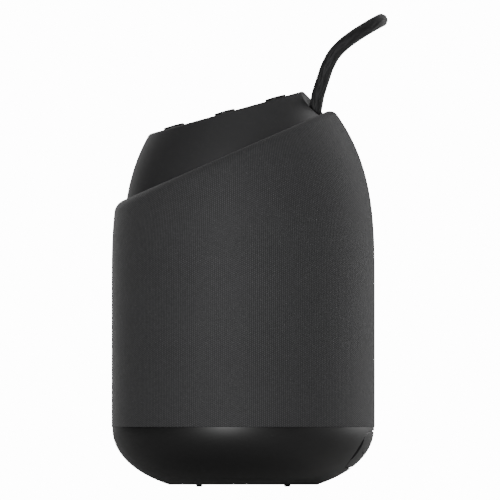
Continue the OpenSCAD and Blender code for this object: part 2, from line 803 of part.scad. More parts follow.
module usb_socket() {
    inner_w = usb_w - 2 * usb_shell_t;
    inner_h = usb_h - 2 * usb_shell_t;
    tongue_t = 0.7;
    tongue_w = inner_w - 1.6;
    tongue_back = 0.6;
    color("#c3c5c8") intersection() {
        translate([usb_x, port_face_y - usb_depth, usb_z]) difference() {
            stadium(usb_w, usb_h);
            difference() {
                translate([0, 1, 0]) stadium(inner_w, inner_h);
                translate([-tongue_w / 2, 0, -tongue_t / 2]) cube([tongue_w, usb_depth - tongue_back, tongue_t]);
            }
        }
        translate([usb_x - usb_w, 0, 0]) cube([2 * usb_w, port_face_y, seam_z]);
    }
}
module aux_jack() {
    body_y = port_face_y - jack_shoulder - jack_depth;
    color("#202124") difference() {
        union() {
            translate([jack_x - jack_w / 2, body_y, board_top]) cube([jack_w, jack_depth, jack_h]);
            translate([jack_x, port_face_y - jack_shoulder - eps, jack_z]) rotate([-90, 0, 0])
                cylinder(r = jack_nose_r, h = jack_shoulder + eps);
        }
        translate([jack_x, port_face_y - jack_bore_l, jack_z]) rotate([-90, 0, 0])
            cylinder(r = jack_bore_r, h = jack_bore_l + 1);
    }
}

// --- Key deck -----------------------------------------------------------------------------
mat_gap = 0.15;
mat_d = mat_t + 0.2;               // depth of the mat's recess
deck_under = -mat_d - deck_t;      // underside of the cap's deck
key_low = -mat_d + key_travel + 0.15;
post_r = 1.8;
post_gap = 0.3;
switch_w = 4.5;
switch_h = 1.6;
stem_r = 1;
stem_h = 0.7;
key_board_z = deck_under - 4.6;    // underside of the key board
key_board_t = 1.2;
key_board_r = 20.6;
key_boss_xy = 12.2;
boss_under_r = 2.5;
switch_z = key_board_z + key_board_t;
stem_top = switch_z + switch_h + stem_h;
led_place = [8, -8];
pipe_r = 0.8;
pipe_gap = 0.1;

// Each child in the deck's own frame: local Z is the deck's normal, local Y rises to the back.
module on_deck() {
    translate([0, -deck_forward, deck_z - deck_forward * tan(deck_tilt)]) rotate([deck_tilt, 0, 0])
        children();
}
// A point of the deck's frame in the body's frame.
function deck_to_body(p) = [
    p[0],
    -deck_forward + p[1] * cos(deck_tilt) - p[2] * sin(deck_tilt),
    deck_z - deck_forward * tan(deck_tilt) + p[1] * sin(deck_tilt) + p[2] * cos(deck_tilt)
];
key_places = [[0, -1], [0, 0], [0, 1], [1, 0], [-1, 0]];
module at_key(place) { on_deck() translate([place[0] * key_pitch, place[1] * key_pitch, 0]) children(); }
module at_keys() { for (p = key_places) translate([p[0] * key_pitch, p[1] * key_pitch, 0]) children(); }

module key_mat() {
    color("#0e0e0f") on_deck() translate([0, 0, -mat_t]) difference() {
        cylinder(r = mat_r, h = mat_t);
        at_keys() translate([0, 0, -1]) cylinder(r = key_r + key_gap, h = mat_t + 2);
        translate([led_place[0], led_place[1], -1]) cylinder(r = pipe_r + pipe_gap, h = mat_t + 2);
    }
}
// A key with the post below it that reaches its switch.
module key(place) {
    color("#0a0a0b") at_key(place) {
        translate([0, 0, key_low]) cylinder(r = key_r, h = key_rise - key_low);
        translate([0, 0, stem_top]) cylinder(r = post_r, h = key_low - stem_top + eps);
    }
}
module stem(place) {
    color("#d8d4c8") at_key(place) translate([0, 0, switch_z + switch_h - key_travel - 0.2])
        cylinder(r = stem_r, h = stem_h + key_travel + 0.2);
}
module key_switches() {
    color("#2c2d30") on_deck() at_keys() translate([0, 0, switch_z]) difference() {
        translate([-switch_w / 2, -switch_w / 2, 0]) cube([switch_w, switch_w, switch_h]);
        translate([0, 0, switch_h - 2 * key_travel - 0.4]) cylinder(r = stem_r + 0.1, h = switch_h);
    }
}
module key_board() {
    color("#1f5a36") on_deck() translate([0, 0, key_board_z]) difference() {
        cylinder(r = key_board_r, h = key_board_t);
        corners(key_boss_xy) translate([0, 0, -1]) cylinder(r = shank_r + hole_gap, h = key_board_t + 2);
    }
}
module status_led() {
    size = [1.6, 0.8, 0.6];
    color("#e9e4c8") on_deck() translate([led_place[0] - size[0] / 2, led_place[1] - size[1] / 2, switch_z])
        cube(size);
}
module light_pipe() {
    color("#c8ccd0") on_deck() translate([led_place[0], led_place[1], switch_z + 0.7])
        cylinder(r = pipe_r, h = -switch_z - 0.7);
}

module key_volume_down() { key(key_places[0]); }
module key_play() { key(key_places[1]); }
module key_volume_up() { key(key_places[2]); }
module key_power() { key(key_places[3]); }
module key_link() { key(key_places[4]); }
module stem_volume_down() { stem(key_places[0]); }
module stem_play() { stem(key_places[1]); }
module stem_volume_up() { stem(key_places[2]); }
module stem_power() { stem(key_places[3]); }
module stem_link() { stem(key_places[4]); }

// --- Strap: a round cord in a loop --------------------------------------------------------
// One leg's route from the pivot at the cap's back to the loop's tip, where it crosses over,
// with heights above the pivot.
leg_shape = [
    [7, 24.3, 0], [7.3, 25.0, 3.7], [7.9, 25.9, 6.7], [8.5, 26.9, 9.7],
    [9.0, 27.9, 12.7], [9.3, 28.9, 14.8], [9.5, 30.0, 16.8], [9.6, 31.6, 18.8],
    [9.6, 33.7, 20.8], [9.3, 36.3, 22.8], [8.3, 39.3, 24.8], [6.3, 42.6, 26.8],
    [3.4, 45.1, 28.2], [0, 46.1, 28.7]
];
leg_z = deck_z + 0.5;    // height of the pivot
leg_route = [for (p = leg_shape) [p[0], p[1], leg_z + p[2]]];
strap_route = concat(
    leg_route,
    [for (i = [len(leg_route) - 2:-1:0]) [-leg_route[i][0], leg_route[i][1], leg_route[i][2]]]
);
strap_pivot = leg_route[0];
strap_lean = 11;         // of the legs at the cap, from upright to the back
strap_hole_r = strap_d / 2 + strap_gap;
strap_sides = 10;
grip_h = 9;              // length of the hole in the cap's thickened wall
grip_r = 5.8;
ferrule_l = 7;
ferrule_t = 0.9;
dimple_r = 6;
dimple_out = 3.7;        // of the dimple's centre from the pivot
dimple_lean = 33;

function unit(v) = v / norm(v);
function cross_unit(a, b) = unit(cross(a, b));
// Direction of a route at one of its points.
function heading(p, i) = unit(p[min(i + 1, len(p) - 1)] - p[max(i - 1, 0)]);
// One ring of a tube, square to the direction h, its first side turned towards "up".
function tube_ring(c, h, r, up) =
    let (u = cross_unit(up, h), v = cross(h, u))
    [for (k = [0:strap_sides - 1])
        let (a = 360 * k / strap_sides) c + r * (cos(a) * u + sin(a) * v)];

// A tube along a route as one closed polyhedron, with a round cap at both ends.
module round_tube(p, r) {
    last = len(p) - 1;
    up = [0, -1, 0.8];
    cap_angles = [75, 50, 25];
    start = [for (a = cap_angles) tube_ring(p[0] - heading(p, 0) * r * sin(a), heading(p, 0), r * cos(a), up)];
    middle = [for (i = [0:last]) tube_ring(p[i], heading(p, i), r, up)];
    end = [for (i = [2:-1:0]) tube_ring(
        p[last] + heading(p, last) * r * sin(cap_angles[i]), heading(p, last), r * cos(cap_angles[i]), up)];
    rings = concat(start, middle, end);
    n = strap_sides;
    m = len(rings);
    points = concat([for (ring = rings) for (q = ring) q],
        [p[0] - heading(p, 0) * r, p[last] + heading(p, last) * r]);
    faces = concat(
        [for (j = [0:m - 2], k = [0:n - 1]) [j * n + k, (j + 1) * n + k, (j + 1) * n + (k + 1) % n]],
        [for (j = [0:m - 2], k = [0:n - 1]) [j * n + k, (j + 1) * n + (k + 1) % n, j * n + (k + 1) % n]],
        [for (k = [0:n - 1]) [m * n, k, (k + 1) % n]],
        [for (k = [0:n - 1]) [m * n + 1, (m - 1) * n + (k + 1) % n, (m - 1) * n + k]]
    );
    polyhedron(points, faces);
}

// Each child at both legs, local Z along the leg and the origin at its pivot.
module at_legs() {
    for (s = [-1, 1]) translate([s * strap_pivot[0], strap_pivot[1], strap_pivot[2]])
        rotate([-strap_lean, 0, 0]) children();
}

module strap() { color("#1d1d20") round_tube(strap_route, strap_d / 2); }
module strap_ends() {
    color("#1d1d20") at_legs() translate([0, 0, -grip_h - ferrule_l])
        cylinder(d = strap_d, h = grip_h + ferrule_l - strap_d / 2 - 0.15);
}
module strap_ferrules() {
    color("#a9abae") at_legs() translate([0, 0, -grip_h - ferrule_l]) difference() {
        cylinder(d = strap_d + 2 * ferrule_t + 0.04, h = ferrule_l - 0.1);
        translate([0, 0, -1]) cylinder(d = strap_d + 0.04, h = ferrule_l + 2);
    }
}

// --- Top cap ------------------------------------------------------------------------------
cap_z = chassis_top + gasket_t;
cap_boss_r = 3.4;
cap_boss_h = 12;

module top_cap() {
    color("#26272a") difference() {
        union() {
            difference() {
                intersection() {
                    body_solid(rim_t, 0);
                    below_deck();
                    translate([0, 0, cap_z]) cylinder(r = body_r, h = deck_z);
                }
                intersection() {
                    body_solid(rim_t + cap_wall, 0);
                    below_deck(-deck_under);
                }
            }
            corners(cap_screw_xy) translate([0, 0, cap_z]) cylinder(r = cap_boss_r, h = cap_boss_h);
            on_deck() corners(key_boss_xy) translate([0, 0, switch_z])
                cylinder(r = boss_under_r, h = -switch_z - mat_d - 0.5);
            // the thick wall that grips the strap, kept just inside the outer face
            intersection() {
                at_legs() translate([0, 0, -grip_h]) cylinder(r = grip_r, h = 2 * grip_h);
                body_solid(rim_t + cap_wall / 2, 0);
            }
        }
        corners(cap_screw_xy) translate([0, 0, cap_z - 1]) cylinder(r = shank_r + thread_gap, h = cap_boss_h - 2);
        on_deck() {
            translate([0, 0, -mat_d]) cylinder(r = mat_r + mat_gap, h = 2 * mat_d);
            at_keys() translate([0, 0, deck_under - 1]) cylinder(r = post_r + post_gap, h = deck_t + 2);
            translate([led_place[0], led_place[1], deck_under - 1]) cylinder(r = pipe_r + pipe_gap, h = deck_t + 2);
            corners(key_boss_xy) translate([0, 0, switch_z - 1])
                cylinder(r = shank_r + thread_gap, h = board_shank - key_board_t + 1.2);
        }
        at_legs() {
            translate([0, 0, -2 * grip_h]) cylinder(r = strap_hole_r, h = 3 * grip_h);
            translate([0, dimple_out * sin(dimple_lean - strap_lean), dimple_out * cos(dimple_lean - strap_lean)])
                sphere(r = dimple_r);
        }
    }
}

// --- Assembly -----------------------------------------------------------------------------

base_cup();
feet();
port_cover();
base_seal();
housing_screws();
fabric_sleeve();
grille_cage();
chassis();
chassis_lid();
chassis_gaskets();
chassis_screws();
driver_gaskets();
right_basket();
right_magnet();
right_voice_coil();
right_cone();
right_surround();
right_spider();
left_basket();
left_magnet();
left_voice_coil();
left_cone();
left_surround();
left_spider();
front_radiator_frame();
front_radiator_plate();
front_radiator_surround();
rear_radiator_frame();
rear_radiator_plate();
rear_radiator_surround();
battery_cradle();
battery();
speaker_leads();
battery_leads();
key_cable();
main_board();
board_screws();
radio_shield();
board_chips();
usb_socket();
aux_jack();
top_cap();
key_mat();
key_volume_down();
key_play();
key_volume_up();
key_power();
key_link();
stem_volume_down();
stem_play();
stem_volume_up();
stem_power();
stem_link();
key_switches();
key_board();
status_led();
light_pipe();
strap();
strap_ends();
strap_ferrules();
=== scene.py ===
import math
import bmesh
import bpy
import numpy as np
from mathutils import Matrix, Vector
from mathutils.kdtree import KDTree


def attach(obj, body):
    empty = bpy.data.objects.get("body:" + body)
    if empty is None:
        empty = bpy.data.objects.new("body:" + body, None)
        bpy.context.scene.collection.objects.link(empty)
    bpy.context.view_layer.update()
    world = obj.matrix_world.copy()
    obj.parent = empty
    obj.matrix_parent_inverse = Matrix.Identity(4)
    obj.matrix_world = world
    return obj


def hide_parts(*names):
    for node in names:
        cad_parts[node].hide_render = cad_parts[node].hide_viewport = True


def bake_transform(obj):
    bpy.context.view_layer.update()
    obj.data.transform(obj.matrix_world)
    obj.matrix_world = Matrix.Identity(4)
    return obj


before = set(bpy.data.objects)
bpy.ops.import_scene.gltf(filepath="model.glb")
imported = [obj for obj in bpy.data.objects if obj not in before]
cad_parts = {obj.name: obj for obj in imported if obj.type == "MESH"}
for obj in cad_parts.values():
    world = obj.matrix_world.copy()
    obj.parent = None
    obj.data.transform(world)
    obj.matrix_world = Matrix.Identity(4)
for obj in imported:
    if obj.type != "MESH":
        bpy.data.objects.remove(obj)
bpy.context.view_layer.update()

# --- Camera -------------------------------------------------------------------------------
# A flat view, with no perspective, square to the speaker's right side at mid height. The
# script's sizes are in millimetres, and MM turns them into the scene's metres.
MM = 0.001
view_width = 167.08 * MM
view_middle = (2.27 * MM, 79.13 * MM)       # along Y and Z
view_distance = 0.6
camera = bpy.data.objects.new("camera", bpy.data.cameras.new("camera"))
camera.data.type = "ORTHO"
camera.data.ortho_scale = view_width
camera.location = (view_distance, *view_middle)
camera.rotation_euler = (math.pi / 2, 0, math.pi / 2)
bpy.context.scene.collection.objects.link(camera)
bpy.context.scene.camera = camera


# --- Strap --------------------------------------------------------------------------------
# A soft round cord, braided from sixteen black polyester yarns, in one loop. Both ends go
# down through holes in the cap's back and are gripped below by steel ferrules.
def smooth_path(points, spacing):
    """A Catmull-Rom curve through the points: between two of them each place is a cubic whose
    slope at a point is half the step from its neighbour before to its neighbour after. The
    curve is then cut into equal steps of about the spacing."""
    p = np.vstack([2 * points[0] - points[1], points, 2 * points[-1] - points[-2]])
    t = np.linspace(0, 1, 24, endpoint=False)[None, :, None]
    a, b, c, d = (p[k:len(p) - 3 + k, None, :] for k in range(4))
    curve = 0.5 * (2 * b + (c - a) * t + (2 * a - 5 * b + 4 * c - d) * t ** 2
                   + (3 * b - a - 3 * c + d) * t ** 3)
    curve = np.vstack([curve.reshape(-1, 3), points[-1:]])
    along = np.concatenate([[0], np.cumsum(np.linalg.norm(np.diff(curve, axis=0), axis=1))])
    steps = np.linspace(0, along[-1], int(round(along[-1] / spacing)) + 1)
    return np.stack([np.interp(steps, along, curve[:, k]) for k in range(3)], -1), steps


def piece_from_grids(name, grids, uvs=None, crease=35):
    """One object from grids of points, in millimetres: four neighbours make a face. Touching
    edges are joined, faces are turned outwards, and edges sharper than crease stay crisp."""
    points, faces, maps, first = [], [], [], 0
    for k, grid in enumerate(grids):
        rows, columns = grid.shape[:2]
        index = first + np.arange(rows * columns).reshape(rows, columns)
        face = np.stack([index[:-1, :-1], index[:-1, 1:], index[1:, 1:], index[1:, :-1]], -1)
        points.append(grid.reshape(-1, 3) * MM)
        faces.append(face.reshape(-1, 4))
        maps.append((uvs[k] if uvs else np.zeros((rows, columns, 2))).reshape(-1, 2))
        first += rows * columns
    points, faces, maps = (np.concatenate(part) for part in (points, faces, maps))
    mesh = bpy.data.meshes.new(name)
    mesh.vertices.add(len(points))
    mesh.vertices.foreach_set("co", points.ravel())
    mesh.loops.add(faces.size)
    mesh.loops.foreach_set("vertex_index", faces.ravel())
    mesh.polygons.add(len(faces))
    mesh.polygons.foreach_set("loop_start", np.arange(0, faces.size, 4))
    mesh.uv_layers.new(name="UVMap").data.foreach_set("uv", maps[faces.ravel()].ravel())
    mesh.update(calc_edges=True)
    tidy_mesh(mesh, crease)
    piece = bpy.data.objects.new(name, mesh)
    bpy.context.scene.collection.objects.link(piece)
    return piece


def tidy_mesh(mesh, crease):
    """Joins points that coincide, turns the closed shells outwards and shades them smooth."""
    shell = bmesh.new()
    shell.from_mesh(mesh)
    bmesh.ops.remove_doubles(shell, verts=shell.verts, dist=1e-3 * MM)
    bmesh.ops.dissolve_degenerate(shell, edges=shell.edges, dist=1e-4 * MM)
    bmesh.ops.recalc_face_normals(shell, faces=shell.faces)
    shell.to_mesh(mesh)
    shell.free()
    mesh.shade_smooth()
    mesh.set_sharp_from_angle(angle=math.radians(crease))


def new_material(name, colour, roughness, **sockets):
    """A material with one Principled shader, whose constant values are set on its sockets."""
    material = bpy.data.materials.new(name)
    material.use_nodes = True
    shader = material.node_tree.nodes["Principled BSDF"]
    shader.inputs["Base Color"].default_value = (*colour, 1)
    shader.inputs["Roughness"].default_value = roughness
    for socket, value in sockets.items():
        shader.inputs[socket.replace("_", " ")].default_value = value
    material.diffuse_color = (*colour, 1)
    return material


def put_node(tree, kind, settings=(), **inputs):
    """Adds a node. An input is a value, or another node's output to link from; its name is
    the socket's with _ for a space, or in0, in1 for the sockets in order."""
    node = tree.nodes.new(kind)
    for key, value in dict(settings).items():
        setattr(node, key, value)
    for key, value in inputs.items():
        socket = node.inputs[int(key[2:])] if key[:2] == "in" and key[2:].isdigit() \
            else node.inputs[key.replace("_", " ")]
        if isinstance(value, bpy.types.NodeSocket):
            tree.links.new(value, socket)
        else:
            socket.default_value = value
    return node


def maths(tree, operation, a, b=0.0):
    """The output of a Math node."""
    return put_node(tree, "ShaderNodeMath", {"operation": operation}, in0=a, in1=b).outputs[0]


def new_group(name, inputs, outputs):
    """An empty shader node group with the named inputs (kind, first value) and outputs."""
    group = bpy.data.node_groups.new(name, "ShaderNodeTree")
    for key, (kind, value) in inputs.items():
        socket = group.interface.new_socket(key, in_out="INPUT", socket_type=kind)
        if value is not None:
            socket.default_value = value
    for key, kind in outputs.items():
        group.interface.new_socket(key, in_out="OUTPUT", socket_type=kind)
    return group, group.nodes.new("NodeGroupInput"), group.nodes.new("NodeGroupOutput")


def place_group(material, group, **inputs):
    """A copy of a node group in a material, with that material's own values."""
    node = put_node(material.node_tree, "ShaderNodeGroup", {"node_tree": group})
    for key, value in inputs.items():
        node.inputs[key.replace("_", " ")].default_value = value
    return node


def feed(material, socket, output):
    """Links an output to a socket of the material's Principled shader."""
    material.node_tree.links.new(output, material.node_tree.nodes["Principled BSDF"].inputs[socket])


def braid_group():
    """Braid: the yarns' fine twisted fibres. On the cord's own map, u goes once round and v
    counts millimetres along. Colour is darker in the grooves between yarns, which the
    cord's "lift" attribute marks: this darkening is painted shade. It is also streaked by
    fibres that run with each yarn."""
    fibres_round, fibre_lean = 8 * 7, 12.0    # seven to a yarn, and their turn for each mm
    group, given, out = new_group("braid", {
        "Yarn": ("NodeSocketColor", (0.02, 0.02, 0.02, 1)),
        # the groove colour is painted shade, for the dark between the yarns
        "Groove": ("NodeSocketColor", (0.005, 0.005, 0.005, 1))},
        {"Color": "NodeSocketColor", "Height": "NodeSocketFloat"})
    lift = put_node(group, "ShaderNodeAttribute", {"attribute_name": "lift"}).outputs["Fac"]
    place = put_node(group, "ShaderNodeUVMap", {"uv_map": "UVMap"}).outputs[0]
    u, v = put_node(group, "ShaderNodeSeparateXYZ", in0=place).outputs[:2]
    lean = put_node(group, "ShaderNodeAttribute", {"attribute_name": "lean"}).outputs["Fac"]
    turned = maths(group, "ADD", maths(group, "MULTIPLY", u, fibres_round * math.tau),
                   maths(group, "MULTIPLY", v, maths(group, "MULTIPLY", lean, fibre_lean)))
    fibre = maths(group, "MULTIPLY_ADD", maths(group, "SINE", turned), 0.5)
    fibre.node.inputs[2].default_value = 0.5
    fuzz = put_node(group, "ShaderNodeTexNoise", Vector=place, Scale=9.0, Detail=4.0).outputs["Fac"]
    streak = maths(group, "MULTIPLY", fibre, fuzz)
    blend = maths(group, "MULTIPLY", maths(group, "POWER", lift, 1.4), maths(group, "ADD", streak, 0.6))
    colour = put_node(group, "ShaderNodeMix", {"data_type": "RGBA", "clamp_factor": True},
                      Factor=blend)
    group.links.new(given.outputs["Groove"], colour.inputs[6])
    group.links.new(given.outputs["Yarn"], colour.inputs[7])
    group.links.new(colour.outputs[2], out.inputs["Color"])
    height = maths(group, "ADD", maths(group, "MULTIPLY", streak, 0.5), lift)
    group.links.new(height, out.inputs["Height"])
    return group


def bumped(material, height, strength, distance):
    """Feeds a height through a Bump node to the shader's Normal."""
    tree = material.node_tree
    feed(material, "Normal", put_node(tree, "ShaderNodeBump", Height=height, Strength=strength,
                                      Distance=distance).outputs["Normal"])


strap_d = 4.5
strap_leg = [
    [7, 24.3, 127.2], [7.3, 25.0, 130.9], [7.9, 25.9, 133.9], [8.5, 26.9, 136.9],
    [9.0, 27.9, 139.9], [9.3, 28.9, 142.0], [9.5, 30.0, 144.0], [9.6, 31.6, 146.0],
    [9.6, 33.7, 148.0], [9.3, 36.3, 150.0], [8.3, 39.3, 152.0], [6.3, 42.6, 154.0],
    [3.4, 45.1, 155.4], [0, 46.1, 155.9]
]
strap_pivot = np.array(strap_leg[0])
strap_lean = math.radians(11)
strap_grip = 15.0          # length of each leg below its pivot, down into the ferrule
leg_up = np.array([0, math.sin(strap_lean), math.cos(strap_lean)])
mirror_x = np.array([-1, 1, 1])
strap_half = np.array([strap_pivot - leg_up * strap_grip, strap_pivot - leg_up * strap_grip / 2,
                       *strap_leg])
strap_line, strap_along = smooth_path(np.vstack([strap_half, strap_half[-2::-1] * mirror_x]), 0.3)


def braided_cord(line, along, radius, yarns, pitch, relief):
    """Rings along a line. Yarns wind both ways round it, so at angle a and length s one set's
    ridge is |cos| of half of (yarns a + s / pitch) and the other's of (yarns a - s / pitch).
    Where they cross, the set that the checker sin x sin picks lies on top. The relief is how
    deep the grooves are, and both ends are rounded off."""
    off_line = [0, -1, 0.8]                # a direction that the cord never takes
    end_round, passing = 1.2, 0.28         # passing is how far a ridge dips under another
    tangent = np.gradient(line, axis=0)
    tangent /= np.linalg.norm(tangent, axis=1, keepdims=True)
    side = np.cross(off_line, tangent)
    side /= np.linalg.norm(side, axis=1, keepdims=True)
    over = np.cross(tangent, side)
    turn = np.linspace(0, math.tau, 8 * yarns + 1)[None, :]
    run = math.tau * along[:, None] / pitch
    one, two = yarns * turn + run, yarns * turn - run
    picked = np.sin(one / 2) * np.sin(two / 2)
    ridge_one = np.abs(np.cos(one / 2)) * (1 - passing + passing * picked)
    ridge_two = np.abs(np.cos(two / 2)) * (1 - passing - passing * picked)
    lift = np.maximum(ridge_one, ridge_two)
    r = radius - relief * (1 - lift)
    ends = np.minimum(along, along[-1] - along)[:, None]
    r = r * np.sqrt(np.clip(ends / end_round, 0.0, 1))
    grid = line[:, None] + r[..., None] * (np.cos(turn)[..., None] * side[:, None]
                                           + np.sin(turn)[..., None] * over[:, None])
    place = np.stack(np.broadcast_arrays(turn / math.tau, along[:, None]), -1)
    return grid, place, lift, np.sign(ridge_one - ridge_two)


def store_on_points(piece, name, grid, values):
    """Keeps a number for each point, found by the nearest point of the grid it came from."""
    flat, numbers = grid.reshape(-1, 3) * MM, values.ravel()
    tree = KDTree(len(flat))
    for k, point in enumerate(flat):
        tree.insert(point, k)
    tree.balance()
    found = [numbers[tree.find(v.co)[1]] for v in piece.data.vertices]
    piece.data.attributes.new(name, "FLOAT", "POINT").data.foreach_set("value", found)


ridge_proud = 0.08      # the yarns' tops stand this far out of the cord's nominal radius
strap_grid, strap_map, strap_lift, strap_set = braided_cord(
    strap_line, strap_along, strap_d / 2 + ridge_proud, yarns=8, pitch=8.4, relief=0.34)
strap = piece_from_grids("strap_cord", [strap_grid], [strap_map], crease=180)
store_on_points(strap, "lift", strap_grid, strap_lift)
store_on_points(strap, "lean", strap_grid, np.broadcast_to(strap_set, strap_lift.shape))
strap_cord = new_material("strap_cord", (0.016, 0.016, 0.017), 0.62, Sheen_Weight=0.25,
                          Sheen_Roughness=0.4, Specular_IOR_Level=0.35)
# the strap's groove colour is painted shade in the grooves between the yarns
braid = place_group(strap_cord, braid_group(), Yarn=(0.021, 0.021, 0.022, 1),
                    Groove=(0.004, 0.004, 0.0045, 1))
feed(strap_cord, "Base Color", braid.outputs["Color"])
bumped(strap_cord, braid.outputs["Height"], 0.5, 0.08 * MM)
strap.data.materials.append(strap_cord)
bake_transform(strap)
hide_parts("strap", "strap_ends")

# --- Base cup -----------------------------------------------------------------------------
# The bowl that the speaker stands in, moulded in one piece and sprayed with black soft-touch
# paint. It is screwed on from below. At the back it has a pocket with the two ports in it.
def micro_grain_group():
    """Micro grain: the fine texture of a mould, as noise bumps of the grain's size with two
    finer octaves, a slow change of roughness where hands and cloths have polished it, and
    specks of pale dust where a finer noise is high."""
    group, given, out = new_group("micro_grain", {
        "Colour": ("NodeSocketColor", (0.02, 0.02, 0.02, 1)),
        "Grain size": ("NodeSocketFloat", 0.0003),
        "Roughness": ("NodeSocketFloat", 0.4),
        "Polish": ("NodeSocketFloat", 0.06),
        "Dust": ("NodeSocketFloat", 0.02)},
        {"Color": "NodeSocketColor", "Roughness": "NodeSocketFloat", "Height": "NodeSocketFloat"})
    place = put_node(group, "ShaderNodeTexCoord").outputs["Object"]
    scale = maths(group, "DIVIDE", 1.0, given.outputs["Grain size"])
    grain = put_node(group, "ShaderNodeTexNoise", Vector=place, Scale=scale, Detail=2.0).outputs["Fac"]
    hand = put_node(group, "ShaderNodeTexNoise", Vector=place, Scale=55.0, Detail=3.0,
                    Roughness=0.6).outputs["Fac"]
    cloud = put_node(group, "ShaderNodeTexNoise", Vector=place, Scale=900.0, Detail=5.0).outputs["Fac"]
    specks = put_node(group, "ShaderNodeMapRange", Value=cloud, From_Min=0.56, From_Max=0.72,
                      To_Max=given.outputs["Dust"]).outputs[0]
    dust_colour = (0.30, 0.29, 0.27, 1)
    colour = put_node(group, "ShaderNodeMix", {"data_type": "RGBA"}, Factor=specks)
    group.links.new(given.outputs["Colour"], colour.inputs[6])
    colour.inputs[7].default_value = dust_colour
    group.links.new(colour.outputs[2], out.inputs["Color"])
    swing = maths(group, "MULTIPLY", maths(group, "SUBTRACT", hand, 0.5), given.outputs["Polish"])
    group.links.new(maths(group, "ADD", given.outputs["Roughness"], swing), out.inputs["Roughness"])
    group.links.new(grain, out.inputs["Height"])
    return group


micro_grain = micro_grain_group()


def moulded(name, colour, roughness, grain_mm=0.30, bump=0.12, polish=0.08, dust=0.03, **sockets):
    """Moulded plastic or rubber with the micro grain."""
    material = new_material(name, colour, roughness, **sockets)
    grain = place_group(material, micro_grain, Colour=(*colour, 1), Grain_size=grain_mm * MM,
                        Roughness=roughness, Polish=polish, Dust=dust)
    feed(material, "Base Color", grain.outputs["Color"])
    feed(material, "Roughness", grain.outputs["Roughness"])
    bumped(material, grain.outputs["Height"], bump, 0.02 * MM)
    return material


def bowl_radius(z, inset=0.0):
    """Radius of the bowl at a height: a superellipse of power bowl_power that is full at the
    seam and would close bowl_depth below it, moved inwards by inset."""
    part = np.clip((seam_z - z) / (bowl_depth - inset), 0, 1)
    return (cup_r - inset) * (1 - part ** bowl_power) ** (1 / bowl_power)


def lathe(radius, height, columns=256):
    """Turns a closed profile, given as radii and heights, once round the Z axis."""
    turn = np.linspace(0, math.tau, columns + 1)
    r, z = np.asarray(radius, float)[:, None], np.asarray(height, float)[:, None]
    return np.stack(np.broadcast_arrays(r * np.cos(turn), r * np.sin(turn), z), -1)


def arc(centre_r, centre_z, radius, start, stop, steps=6):
    """Radii and heights along an arc of a profile, its angles in degrees from outwards to up."""
    angle = np.radians(np.linspace(start, stop, steps))
    return centre_r + radius * np.cos(angle), centre_z + radius * np.sin(angle)


def joined(*parts):
    """Profile parts, each radii and heights, put end to end."""
    return [np.concatenate([np.atleast_1d(part[k]).astype(float) for part in parts]) for k in (0, 1)]


def stadium_outline(width, height, steps=33, straight=2):
    """A closed outline with straight sides and half-round ends, as x and z from its middle.
    Each end has steps points and each side straight points, its ends included."""
    side = (width - height) / 2
    angle = np.linspace(-math.pi / 2, math.pi / 2, steps)
    run = np.linspace(side, -side, straight)[1:-1]
    x = np.concatenate([side + height / 2 * np.cos(angle), run,
                        -side - height / 2 * np.cos(angle), -run])
    z = np.concatenate([height / 2 * np.sin(angle), 0 * run + height / 2,
                        -height / 2 * np.sin(angle), 0 * run - height / 2])
    return np.append(x, x[0]), np.append(z, z[0])


def round_outline(diameter):
    """A circle as a stadium whose straight sides are too short to see."""
    return stadium_outline(diameter, diameter - 1e-4)


def prism(x, z, y_low, y_high, centre):
    """A closed bar along Y with an outline in X and Z round a centre, flat at both ends."""
    middle = np.zeros_like(x)
    rows = [(middle, middle, y_low), (x, z, y_low), (x, z, y_high), (middle, middle, y_high)]
    return np.stack([np.stack([centre[0] + a, np.full_like(a, y), centre[1] + b], -1)
                     for a, b, y in rows])


def cut_away(piece, cutters, crease=35, operation="DIFFERENCE"):
    """Takes the cutters' shapes out of a piece for good, and removes the cutters."""
    for cutter in cutters:
        step = piece.modifiers.new("cut", "BOOLEAN")
        step.object, step.operation, step.solver = cutter, operation, "EXACT"
    bpy.context.view_layer.update()
    ready = piece.evaluated_get(bpy.context.evaluated_depsgraph_get())
    mesh = bpy.data.meshes.new_from_object(ready)
    piece.modifiers.clear()
    piece.data = mesh
    for cutter in cutters:
        bpy.data.objects.remove(cutter)
    mesh.shade_smooth()
    mesh.set_sharp_from_angle(angle=math.radians(crease))
    return piece


def finish_piece(piece, material, body, slot, *nodes):
    """Gives a piece its material and body, and hides the CAD nodes that it stands for.
    The slot is not used.
    """
    piece.data.materials.clear()
    piece.data.materials.append(material)
    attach(piece, body)
    if nodes:
        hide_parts(*nodes)
    return piece


body_r, seam_z, cup_r, underside_z = 44.0, 20.0, 43.8, 0.65
bowl_depth, bowl_power, cup_wall = 22.7, 2.15, 2.4
foot_places = [(x, y) for x in (-14.7, 14.7) for y in (-14.7, 14.7)]
usb_place, usb_size = (-4.5, 12.63), (8.94, 3.26)
jack_place, jack_d = (8.0, 13.9), 5.8
port_face_y = 37.839        # where the sockets' mouths end
cover_w, cover_h, cover_z, cover_t, cover_gap = 34.0, 12.0, 12.5, 1.8, 0.25
pocket_d = cover_t + 0.4
land_wall = 1.4             # behind the pocket
backing_w, backing_h, backing_z = 40, 17, 10.5
hinge_r = float(bowl_radius(cover_z))
hinge_turn = math.pi / 2 + math.asin(cover_w / 2 / hinge_r)
hinge_lean = math.atan(bowl_radius(cover_z + 0.5) - bowl_radius(cover_z - 0.5))
bead_r, bead_l = 0.8, 5.0
foot_hole_r, foot_hole_top = 2.5, 1.9
# where the cutting shapes begin and end along Y
pocket_from, backing_from, holes_from, holes_to, past_bowl = 20, 24, 30, 50, 60


